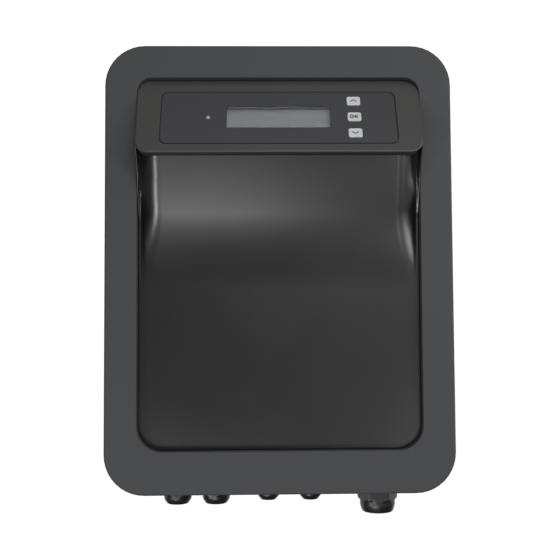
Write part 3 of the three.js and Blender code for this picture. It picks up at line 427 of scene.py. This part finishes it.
def frontFrame():
    h, o = housing, opening

    def outer(inset, y):
        outline = roundedOutline(
            h["halfWidth"] - inset, -h["halfHeight"] + inset, h["halfHeight"] - inset,
            h["cornerR"] - inset, h["cornerR"] - inset,
        )
        return [(x, y, z) for x, z in outline]

    def inner(outset, y):
        outline = roundedOutline(
            o["halfWidth"] + outset, o["bottom"] - outset, o["top"] + outset,
            o["lowerR"] + outset, o["upperR"] + outset,
        )
        return [(x, y, z) for x, z in outline]

    front, back, wall = h["frontY"], h["backY"], h["lipWall"]
    lipBack = front + h["lipDepth"]
    loops = [outer(0, back)]
    loops += [outer(inset, front + down) for inset, down in quarterRound(h["edgeR"], 5)]
    loops += [inner(inset, front + down) for inset, down in reversed(quarterRound(h["lipEdgeR"]))]
    loops += [inner(0, lipBack), inner(wall, lipBack), inner(wall, front + h["skin"])]
    loops += [outer(h["skin"], front + h["skin"]), outer(h["skin"], back)]
    points, faces = skinLoops(loops, ring=True)
    return makePiece(
        "front_frame_skin", points, faces, frameAbs, replaces=("front_frame",), sharp=50
    )


frontFrame()
print("front frame made")

head = {
    "tilt": math.radians(26),
    "slope": 59,
    "topBehindFrame": 4.9,
    "cornerR": 9.5,
    "skin": 2.4,
    "edgeR": 1.5,
    "topEdgeR": 0.5,
    "tightenFrom": 20,
    "tightTo": 6,
}
head["top"] = opening["top"] - gap
head["topY"] = housing["frontY"] + head["topBehindFrame"]
head["noseZ"] = head["top"] - head["slope"] * math.cos(head["tilt"])
head["noseY"] = head["topY"] - head["slope"] * math.sin(head["tilt"])

fascia = {
    "panelY": housing["frontY"] + 6,
    "backY": housing["frontY"] + 10.5,
    "neckY": head["noseY"] + 8,
    "neckInset": 8.4,
    "footInset": 0.6,
    "edgeWidth": 8,
    "straight": 36,
    "curve": 49,
    "wingDrop": 38,
    "wingBehindNose": 4,
    "wingSwell": 1.35,
    "wingProud": 5,
    "valley": 8,
    "rimR": 0.4,
    "wingR": 1.0,
    "wingWall": 1.4,
    "wall": 1.4,
    "bendBelow": 9,
}
fascia["curveTop"] = head["noseZ"] - fascia["straight"]
fascia["rampEnd"] = fascia["curveTop"] - fascia["curve"]


# How far the neck, its side, the wing and the hollow between them stand at height z
def rampAt(z):
    f = fascia
    slope = (f["panelY"] - f["neckY"]) / (f["straight"] + f["curve"] / 2)
    neckY = f["panelY"]
    if z >= f["curveTop"]:
        neckY = f["neckY"] + slope * (head["noseZ"] - z)
    elif z > f["rampEnd"]:
        neckY -= slope * (z - f["rampEnd"]) ** 2 / f["curve"] / 2
    flare = smoothstep(z, f["rampEnd"], f["curveTop"])
    wing = min(max((z - head["noseZ"] + f["wingDrop"]) / (f["wingDrop"] + head["cornerR"]), 0), 1)
    wingFront = head["noseY"] + f["wingBehindNose"]
    return {
        "neckY": neckY,
        "neckX": innerX - lerp(f["footInset"], f["neckInset"], flare),
        "wingY": lerp(f["panelY"], wingFront, wing ** f["wingSwell"]),
        "valleyY": min(f["panelY"], neckY + f["valley"]),
    }


def cubic(p0, p1, p2, p3, t):
    s = 1 - t
    weights = (s**3, 3 * s * s * t, 3 * s * t * t, t**3)
    return [sum(w * c for w, c in zip(weights, corners)) for corners in zip(p0, p1, p2, p3)]


# Points across the right half of the section: flat front, cheek, wing's inner face, rim
across = {"front": 8, "cheek": 18, "wing": 6, "rim": 5}
# How the cheek's curve leans between the neck's edge and the wing's foot, as shares of width and depth
cheekLean = {"near": (0.5, 0.03), "far": (0.8, 0.8), "wing": 0.6}


# The right half of the section at height z, from the middle of the front to the rim's back
def fasciaSection(z, halfWidth):
    at = rampAt(z)
    neckX, neckY = at["neckX"], at["neckY"]
    proud = smoothstep(housing["frontY"] - at["wingY"], 0, fascia["wingProud"])
    rimR = lerp(fascia["rimR"], fascia["wingR"], proud)
    edge = (neckX - fascia["edgeWidth"], neckY)
    foot = (innerX - rimR - fascia["wingWall"], at["valleyY"])
    rim = (innerX - rimR, at["wingY"])

    def between(shares):
        return [lerp(a, b, share) for a, b, share in zip(edge, foot, shares)]

    near, far = between(cheekLean["near"]), between(cheekLean["far"])
    steerX = lerp(foot[0], rim[0], cheekLean["wing"])
    points = [(lerp(0, edge[0], i / across["front"]), neckY) for i in range(across["front"])]
    points += [cubic(edge, near, far, foot, i / across["cheek"]) for i in range(across["cheek"])]
    steer = ((steerX, foot[1]), (steerX, rim[1]))
    points += [cubic(foot, *steer, rim, i / across["wing"]) for i in range(across["wing"])]
    points += [(innerX - inset, rim[1] + down) for inset, down in reversed(quarterRound(rimR, across["rim"]))]
    points.append((innerX, fascia["backY"]))
    squeeze = halfWidth / innerX
    return [(x * squeeze, y) for x, y in points]


# Rows of points up the moulding: round the lower corners, up the panel, up the ramp, round the head
rowsUp = {"edge": 3, "corner": 10, "panel": 8, "ramp": 48, "head": 8}


def fasciaPanel():
    f = fascia
    low, cornerR = opening["bottom"] + gap, opening["lowerR"] - gap
    rows = []

    def halfAt(z):
        below = max(low + cornerR - z, 0)
        return innerX - cornerR + math.sqrt(max(cornerR**2 - below**2, 0))

    def mirrored(line):
        return [(-x, y, z) for x, y, z in line[:0:-1]] + line

    def addRow(z, push=0, back=None):
        half = fasciaSection(z, halfAt(z))
        depths = [min(y + push, f["backY"]) if back is None else back for x, y in half]
        rows.append(mirrored([(x, depth, z) for (x, y), depth in zip(half, depths)]))

    addRow(low, back=f["backY"])
    for inset, down in quarterRound(f["rimR"], rowsUp["edge"]):
        addRow(low + inset, push=down)
    for i in range(1, rowsUp["corner"] + 1):
        turn = math.radians(90 * i / rowsUp["corner"])
        addRow(low + f["rimR"] + (cornerR - f["rimR"]) * (1 - math.cos(turn)))
    for i in range(1, rowsUp["panel"] + 1):
        addRow(lerp(low + cornerR, f["rampEnd"], i / rowsUp["panel"]))
    turnBack = head["noseZ"] - f["bendBelow"]  # above this the rows bend round the head's lower corners
    for i in range(1, rowsUp["ramp"] + 1):
        addRow(lerp(f["rampEnd"], turnBack, i / rowsUp["ramp"]))
    roundR = head["cornerR"] + gap
    flat = fasciaSection(turnBack, innerX)
    for k in range(1, rowsUp["head"] + 1):
        line = []
        for j, (x, _) in enumerate(flat):
            over = max(x - (innerX - head["cornerR"]), 0)
            top = head["noseZ"] + head["cornerR"] - math.sqrt(roundR**2 - over**2)
            z = lerp(turnBack, top, k / rowsUp["head"])
            line.append((x, fasciaSection(z, innerX)[j][1], z))
        rows.append(mirrored(line))
    points, faces = skinLoops(rows, unclosed=True)
    mesh = bpy.data.meshes.new("fascia_moulding")
    mesh.from_pydata(inHousing(points), [], faces)
    thick = applied(mesh, [("SOLIDIFY", {"thickness": f["wall"] * mm, "offset": -1})])
    return settle("fascia_moulding", thick, glossAbs, "control_unit", ("fascia_panel",), 45)


fasciaPanel()
print("fascia made")

label = {
    "halfWidth": innerX - 16.4,
    "halfHeight": 20.6,
    "drop": 1.5,
    "r": 4,
    "recess": 0.6,
    "thick": 0.4,
    "soft": 0.08,
    "groove": 0.7,
    "grooveDepth": 1.4,
    "grooveEdge": 0.12,
    "overhang": 0.15,
}
window = {"halfWidth": 33, "halfHeight": 8.5, "r": 0.5, "soft": 0.25}
keys = {
    "halfWidth": 4.45,
    "halfHeight": 3.4,
    "r": 1.4,
    "pitch": 13,
    "fromEdge": 26.6,
    "proud": 0.7,
    "dish": 0.18,
    "dishRings": (0.12, 0.45, 0.75),
    "soft": 0.45,
    "flange": 1.0,
    "flangeTop": -2.8,
    "flangeBottom": -3.5,
    "stemHalf": 1.9,
    "stemR": 1.85,
    "stemBottom": -4.8,
}
# The light pipe as (radius, height above the face): a low dome, a collar behind the face, and the stem
light = {
    "r": 1.5,
    "fromEdge": 29.7,
    "dome": [(0.1, 0.55), (0.5, 0.5), (0.9, 0.36), (1.25, 0.1), (1.5, -0.2)],
    "collar": [(1.5, -2.7), (2.4, -2.7), (2.4, -3.6), (1.5, -3.6)],
    "stem": [(1.5, -9.0)],
}
keyX = label["halfWidth"] - keys["fromEdge"]
lightX = -label["halfWidth"] + light["fromEdge"]
keyRows = [-label["drop"] + row * keys["pitch"] for row in (1, 0, -1)]


# From the face's own axes (x, up the slope, out of the face) to the housing's
def onFace(x, up, out):
    c, s = math.cos(head["tilt"]), math.sin(head["tilt"])
    midY, midZ = (head["noseY"] + head["topY"]) / 2, (head["noseZ"] + head["top"]) / 2
    return (x, midY + up * s - out * c, midZ + up * c + out * s)


def faceLoop(halfX, halfUp, r, out, x=0, up=0, cornerSteps=6, sideSteps=2):
    outline = roundedOutline(halfX, up - halfUp, up + halfUp, r, r, cornerSteps, sideSteps)
    return [onFace(x + px, pu, out) for px, pu in outline]


def faceCircle(r, out, x, up, steps=24):
    return [
        onFace(x + r * math.cos(2 * math.pi * i / steps), up + r * math.sin(2 * math.pi * i / steps), out)
        for i in range(steps)
    ]


# The label's outline, wider or narrower all round
def labelLoop(wider, out, cornerSteps=12, sideSteps=12):
    halfX, halfUp, r = [label[part] + wider for part in ("halfWidth", "halfHeight", "r")]
    return faceLoop(halfX, halfUp, r, out, 0, -label["drop"], cornerSteps, sideSteps)


def windowLoop(wider, out):
    halfX, halfUp = [window[part] + wider for part in ("halfWidth", "halfHeight")]
    return faceLoop(halfX, halfUp, window["r"], out, 0, -label["drop"])


# Holes for the window, the keys and the light pipe, cut at one height above the face
def labelOpenings(out):
    loops = [windowLoop(gap, out)]
    for up in keyRows:
        wide, tall, r = [keys[part] + gap for part in ("halfWidth", "halfHeight", "r")]
        loops.append(faceLoop(wide, tall, r, out, keyX, up))
    loops.append(faceCircle(light["r"] + gap, out, lightX, -label["drop"]))
    return loops


def consoleHead():
    back = fascia["backY"]

    def faceY(z):
        return head["noseY"] + (z - head["noseZ"]) * math.tan(head["tilt"])

    def wallLoop(inset, y=None, down=0):
        outline = roundedOutline(
            innerX - inset, head["noseZ"] + inset, head["top"] - inset,
            head["cornerR"] - inset, head["cornerR"] - gap - inset, 12, 12,
        )
        return [(x, faceY(z) + down if y is None else y, z) for x, z in outline]

    # The rounding round the face, tighter towards its top edge
    def edgeLoop(inset, down):
        loop = []
        for (x, y, z), (outX, _, outZ) in zip(wallLoop(inset), wallLoop(0)):
            rise = smoothstep(z, head["noseZ"] + head["tightenFrom"], head["top"] - head["tightTo"])
            keep = lerp(1, head["topEdgeR"] / head["edgeR"], rise)
            px, pz = lerp(outX, x, keep), lerp(outZ, z, keep)
            loop.append((px, faceY(pz) + down * keep, pz))
        return loop

    groove, edge, land = label["groove"], label["grooveEdge"], -label["overhang"]
    outside = [wallLoop(0, y=back)]
    outside += [edgeLoop(inset, down) for inset, down in quarterRound(head["edgeR"], 6)]
    outside += [labelLoop(groove + edge, 0), labelLoop(groove, -edge)]
    outside += [labelLoop(groove, -label["grooveDepth"]), labelLoop(land, -label["grooveDepth"])]
    outside += [labelLoop(land, -label["recess"])]
    inside = [wallLoop(head["skin"], y=back)]
    inside += [wallLoop(head["skin"], down=head["skin"] / math.cos(head["tilt"]))]
    floor = flatFill([outside[-1]] + labelOpenings(-label["recess"]))
    ceiling = flatFill([inside[-1]] + labelOpenings(-head["skin"]))
    bores = [
        skinLoops([top, bottom])
        for top, bottom in zip(labelOpenings(-label["recess"]), labelOpenings(-head["skin"]))
    ]
    rim = skinLoops([inside[0], outside[0]])
    points, faces = together(skinLoops(outside), skinLoops(inside), floor, ceiling, rim, *bores)
    return makePiece(
        "console_head_shell", points, faces, headAbs, replaces=("console_head",),
        sharp=40,
    )


def keypadLabel():
    low = -label["recess"] + gap / 2
    high = low + label["thick"]
    soft = label["soft"]
    sides = [labelLoop(0, low, 10, 6), labelLoop(0, high - soft, 10, 6), labelLoop(-soft, high, 10, 6)]
    top = flatFill([sides[-1]] + labelOpenings(high))
    bottom = flatFill([sides[0]] + labelOpenings(low))
    cuts = [skinLoops([a, b]) for a, b in zip(labelOpenings(high), labelOpenings(low))]
    points, faces = together(skinLoops(sides), top, bottom, *cuts)
    return makePiece(
        "keypad_label_film", points, faces, labelFilm, replaces=("keypad_label",), sharp=40
    )


def displayPane():
    low, high = -head["skin"] + gap, -label["recess"] + gap / 2 + label["thick"]
    soft = window["soft"]
    loops = [windowLoop(-soft, low), windowLoop(0, low + soft)]
    loops += [windowLoop(0, high - soft), windowLoop(-soft, high)]
    points, faces = skinLoops(loops, capFirst=True, capLast=True)
    return makePiece(
        "display_pane", points, faces, acrylicPane, replaces=("display_window",),
        sharp=25,
    )


# A key: dished top, rounded shoulders, a flange that keeps it in and a foot over its switch
def keyCap(name, up):
    soft, high = keys["soft"], keys["proud"]
    wide, tall, r = keys["halfWidth"], keys["halfHeight"], keys["r"]
    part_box("key_" + name)  # stops here if the CAD has no such key
    loops = []
    for share in keys["dishRings"]:
        drop = keys["dish"] * (1 - share**2)
        loops.append(faceLoop((wide - soft) * share, (tall - soft) * share, r * share, high - drop, keyX, up))
    for inset, down in reversed(quarterRound(soft, 4)):
        loops.append(faceLoop(wide - inset, tall - inset, r - inset / 2, high - down, keyX, up))
    top, bottom, flange = keys["flangeTop"], keys["flangeBottom"], keys["flange"]
    for out, spread in ((top, 0), (top, flange), (bottom, flange), (bottom, 0)):
        loops.append(faceLoop(wide + spread, tall + spread, r, out, keyX, up))
    for out in (bottom, keys["stemBottom"]):
        loops.append(faceLoop(keys["stemHalf"], keys["stemHalf"], keys["stemR"], out, keyX, up))
    points, faces = skinLoops(loops, capFirst=True, capLast=True)
    return makePiece(
        "keycap_" + name, points, faces, keyPlastic, body="key_" + name, replaces=("key_" + name,),
        sharp=50,
    )


# Strokes in millimetres from the key's middle: an arrow up, the letters OK, an arrow down
def circleRun(r, x, squash=1, steps=20):
    angles = [2 * math.pi * i / steps for i in range(steps)]
    return [(x + r * math.cos(a), r * squash * math.sin(a)) for a in angles] + [(x + r, 0)]


chevron = [(-2.0, -0.7), (0, 0.8), (2.0, -0.7)]
marks = {
    "up": [chevron],
    "ok": [circleRun(1.1, -1.75, 1.1), [(0.55, -1.2), (0.55, 1.2)], [(2.3, 1.2), (0.95, 0), (2.3, -1.2)]],
    "down": [[(x, -y) for x, y in chevron]],
}
ink = {"width": 0.65, "bottom": keys["proud"] - 0.27, "top": keys["proud"] - 0.03}


# The marks are raised strokes of ink along runs of points, and a run that ends where it began is a ring
def keyMark(name, up, runs):
    mark = []
    for run in runs:
        ring = run[0] == run[-1]
        run = run[:-1] if ring else run
        count = len(run)
        loops = []
        for i, (x, y) in enumerate(run):
            before = run[(i - 1) % count] if ring or i > 0 else run[i]
            after = run[(i + 1) % count] if ring or i < count - 1 else run[i]
            along = Vector((after[0] - before[0], after[1] - before[1])).normalized()
            side = Vector((-along.y, along.x)) * ink["width"] / 2
            corners = ((1, ink["bottom"]), (-1, ink["bottom"]), (-1, ink["top"]), (1, ink["top"]))
            loops.append(
                [onFace(keyX + x + way * side.x, up + y + way * side.y, out) for way, out in corners]
            )
        mark.append(skinLoops(loops, ring=ring, capFirst=not ring, capLast=not ring))
    points, faces = together(*mark)
    return makePiece(
        "key_mark_" + name, points, faces, keyInk, body="key_" + name, sharp=30
    )


def lightPipeLens():
    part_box("status_light_pipe")  # stops here if the CAD has no light pipe
    profile = light["dome"] + light["collar"] + light["stem"]
    loops = [faceCircle(r, out, lightX, -label["drop"]) for r, out in profile]
    points, faces = skinLoops(loops, capFirst=True, capLast=True)
    return makePiece(
        "status_lens", points, faces, lightPipe, replaces=("status_light_pipe",), sharp=50
    )


consoleHead()
keypadLabel()
displayPane()
for name, up in zip(marks, keyRows):
    keyCap(name, up)
    keyMark(name, up, marks[name])
lightPipeLens()
print("console made")

# For each gland size: thread, width across the flats, and the dome with its tip and its hole for the cable
glandSizes = {
    "m12": {"thread": 12, "across": 15, "dome": 4.6, "tipR": 4.9, "hole": 3.7},
    "m16": {"thread": 16, "across": 19, "dome": 5.7, "tipR": 7, "hole": 5},
    "m20": {"thread": 20, "across": 24, "dome": 8, "tipR": 10, "hole": 6.6},
}
# Each gland's size and how far its nut happens to be turned, in degrees
glands = {
    "mains": ("m16", 0),
    "pump": ("m16", 18),
    "flow": ("m12", 9),
    "probe": ("m12", 0),
    "cell": ("m20", 4),
}
# Chamfers are (in from the corner, down from the top) and (in from the corner, up from the shoulder)
nut = {
    "sides": 6,
    "steps": 72,
    "topChamfer": [(1.1, 0), (0.35, 0.5), (0.12, 1.6)],
    "lowChamfer": [(0.12, 2.2), (0.5, 0.9)],
    "domeSteps": 8,
    "domeStep": (0.2, 0.25),
    "lipRise": 0.9,
    "bulge": 0.35,
    "bulgeShare": 0.09,
    "tipRound": (0.55, 0.3),
    "mouth": [(0.5, 0), (0, 0.5), (0, 1.8)],
    "boreAbove": 1,
    "play": 0.4,
}


# Six flats with the corners turned off by the chamfer, then a dome that closes on the cable
def glandNut(name):
    size, turn = glands[name]
    g = glandSizes[size]
    low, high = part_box(name + "_gland_nut")
    middle = (low + high) / 2
    top, tip = (high.z - housing["centreZ"]) / mm, (low.z - housing["centreZ"]) / mm
    flat = g["across"] / 2
    sector = 2 * math.pi / nut["sides"]
    corner = flat / math.cos(sector / 2)
    shoulder = tip + g["dome"]

    def outside(angle, r, z):
        across = flat / math.cos((angle + math.radians(turn)) % sector - sector / 2)
        return min(r, across) if z >= shoulder - 0.01 else r

    def place(x, y, z):
        return (middle.x / mm + x, middle.y / mm + y, z)

    profile = [(corner - inset, top - down) for inset, down in nut["topChamfer"]]
    profile += [(corner - inset, shoulder + up) for inset, up in nut["lowChamfer"]]
    stepOut, stepDown = nut["domeStep"]
    profile.append((flat + stepOut, shoulder))
    for i in range(1, nut["domeSteps"] + 1):
        t = i / nut["domeSteps"]
        bulge = math.sin(math.pi * t) * (nut["bulge"] + nut["bulgeShare"] * (flat - g["tipR"]))
        radius = lerp(flat, g["tipR"] + nut["lipRise"], t) + bulge
        profile.append((radius, lerp(shoulder - stepDown, tip + nut["lipRise"], t)))
    roundOut, roundUp = nut["tipRound"]
    profile += [(g["tipR"] + roundOut, tip + roundUp), (g["tipR"], tip)]
    bore = g["thread"] / 2 + nut["play"]
    inside = [(g["hole"] + wider, tip + up) for wider, up in nut["mouth"]]
    inside += [(bore, shoulder + nut["boreAbove"]), (bore, top)]
    loops = turned(profile, place, nut["steps"], outside) + turned(inside, place, nut["steps"])
    points, faces = skinLoops(loops, ring=True)
    return makePiece(
        name + "_gland_cap", points, faces, glandNylon, replaces=(name + "_gland_nut",),
        sharp=28,
    )


for name in glands:
    glandNut(name)
    easedCopy(name + "_gland_body", glandNylon, 0.25)
print("glands made")

# The case, the bracket and the heat sink are seen from behind, and keep their own shapes with eased edges
easedCopy("rear_case", caseAbs, 0.6)
easedCopy("wall_bracket", zincSteel, 0.3, body="wall_bracket")
easedCopy("heat_sink", aluminium, 0.25)

carried = {
    "case_gasket": rubber,
    "cover_screw_1": stainless, "cover_screw_2": stainless,
    "cover_screw_3": stainless, "cover_screw_4": stainless,
    "display_board": boardMask, "power_board": boardMask,
    "lcd_frame": stainless, "lcd_glass": lcdPanel,
    "display_screw_1": stainless, "display_screw_2": stainless,
    "board_screw_1": stainless, "board_screw_2": stainless,
    "ribbon_cable": flatCable,
    "mains_terminal": terminalNylon, "sensor_terminal": terminalNylon, "cell_terminal": terminalNylon,
    "bulk_capacitor": sleeveFilm, "output_capacitor": sleeveFilm,
    "main_transformer": ferrite, "filter_choke": ferrite, "output_choke": woundCopper,
    "polarity_relay": blackComponent, "fuse_holder": blackComponent, "fuse": fuseGlass,
    "key_switch_up": blackComponent, "key_switch_ok": blackComponent, "key_switch_down": blackComponent,
}
for name in glands:
    carried[name + "_gland_seal"] = rubber
    carried[name + "_gland_locknut"] = glandNylon
for node, material in carried.items():
    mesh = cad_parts[node].data
    mesh.materials.clear()
    mesh.materials.append(material)
print("carried nodes finished:", len(carried))

# The floor in metres, behind and below the unit, and how bright the surroundings are to the eye and as light
stage = {
    "floorZ": -0.62,
    "halfWidth": 4,
    "near": 0.4,
    "far": 9,
    "white": "f4f4f3",
    "cloudShade": 0.98,
    "cloudsPerMetre": 1.5,
    "glow": 1.0,
    "roomSeen": 1.05,
    "roomLight": 0.13,
}


def layFloor():
    # A light table: translucent white acrylic lit from below, so that it stays paper white
    paper, tree, shader, place = startMaterial("opal acrylic, matt, lit from below", 0.9)
    tone = addNode(tree, "ShaderNodeTexNoise", {"Vector": place, "Scale": stage["cloudsPerMetre"]})
    plain, shaded = hexToLinear(stage["white"]), hexToLinear(stage["white"], stage["cloudShade"])
    mix = addNode(tree, "ShaderNodeMix", {0: tone.outputs["Fac"], 6: plain, 7: shaded}, data_type="RGBA")
    tree.links.new(mix.outputs[2], shader.inputs["Base Color"])
    tree.links.new(mix.outputs[2], shader.inputs["Emission Color"])
    shader.inputs["Emission Strength"].default_value = stage["glow"]
    half, near, far, z = [stage[part] for part in ("halfWidth", "near", "far", "floorZ")]
    corners = [(-half, near, z), (half, near, z), (half, far, z), (-half, far, z)]
    mesh = bpy.data.meshes.new("floor")
    mesh.from_pydata(corners, [], [(0, 1, 2, 3)])
    mesh.materials.append(paper)
    floor = bpy.data.objects.new("floor", mesh)
    bpy.context.scene.collection.objects.link(floor)


# Softboxes aimed at the housing's middle: bearing to the right and rise above level in degrees, distance and
# size in metres, and the brightness of the face
softboxes = {
    "keyRight": {"bearing": 50, "rise": 5, "distance": 1.0, "size": (0.46, 0.42), "radiance": 5.6},
    "topFront": {"bearing": 14, "rise": 27, "distance": 1.1, "size": (0.6, 0.3), "radiance": 8.7},
    "overhead": {"bearing": 0, "rise": 59, "distance": 1.1, "size": (0.8, 0.26), "radiance": 1.4},
    "sideRight": {"bearing": 84, "rise": 12, "distance": 1.0, "size": (0.4, 0.36), "radiance": 6.5},
    "lowRight": {"bearing": 24, "rise": -16, "distance": 1.1, "size": (0.3, 0.1), "radiance": 5.5},
    "lowLeft": {"bearing": -17, "rise": -35, "distance": 1.0, "size": (0.56, 0.2), "radiance": 10.5},
    "leftStrip": {"bearing": -50, "rise": -20, "distance": 1.0, "size": (0.16, 0.26), "radiance": 16},
    "fillFront": {"bearing": 10, "rise": 8, "distance": 1.4, "size": (0.8, 0.5), "radiance": 0.3},
}


def hangSoftbox(name, bearing, rise, distance, size, radiance):
    lamp = bpy.data.lights.new(name, "AREA")
    lamp.shape = "RECTANGLE"
    lamp.size, lamp.size_y = size
    lamp.energy = radiance * math.pi * size[0] * size[1]
    item = bpy.data.objects.new(name, lamp)
    bpy.context.scene.collection.objects.link(item)
    aim = Vector((0, housing["frontY"] * mm, housing["centreZ"]))
    level = math.cos(math.radians(rise)) * distance
    item.location = aim + Vector(
        (
            level * math.sin(math.radians(bearing)),
            -level * math.cos(math.radians(bearing)),
            distance * math.sin(math.radians(rise)),
        )
    )
    item.rotation_euler = (aim - item.location).to_track_quat("-Z", "Y").to_euler()


def studioLight():
    world = bpy.data.worlds.new("studio")
    world.use_nodes = True
    tree = world.node_tree
    background = tree.nodes["Background"]
    seen = addNode(tree, "ShaderNodeLightPath").outputs["Is Camera Ray"]
    low, high = stage["roomLight"], stage["roomSeen"]
    level = addNode(tree, "ShaderNodeMapRange", {"Value": seen, "To Min": low, "To Max": high})
    tree.links.new(level.outputs["Result"], background.inputs["Strength"])
    background.inputs["Color"].default_value = (1, 1, 1, 1)
    bpy.context.scene.world = world
    for name, settings in softboxes.items():
        hangSoftbox(name, **settings)


# Place in metres from the housing's front, turns in degrees, lens and sensor in millimetres
camera = {
    "aside": -0.0112,
    "below": -0.037,
    "distance": 0.55,
    "yaw": -1.2,
    "pitch": 2.99,
    "roll": 0.34,
    "lens": 55.06,
    "sensor": 36,
    "clip": (0.02, 20),
}


def placeCamera():
    data = bpy.data.cameras.new("camera")
    data.lens, data.sensor_width = camera["lens"], camera["sensor"]
    data.clip_start, data.clip_end = camera["clip"]
    item = bpy.data.objects.new("camera", data)
    bpy.context.scene.collection.objects.link(item)
    turn = (
        Matrix.Rotation(math.radians(camera["yaw"]), 4, "Z")
        @ Matrix.Rotation(math.radians(camera["pitch"]), 4, "X")
        @ Matrix.Rotation(math.radians(camera["roll"]), 4, "Y")
        @ Matrix.Rotation(math.radians(90), 4, "X")
    )
    y = housing["frontY"] * mm - camera["distance"]
    item.matrix_world = Matrix.Translation((camera["aside"], y, housing["centreZ"] + camera["below"])) @ turn
    bpy.context.scene.camera = item


layFloor()
studioLight()
placeCamera()
bpy.context.scene.view_settings.view_transform = "Standard"
print("stage, lights and camera set")
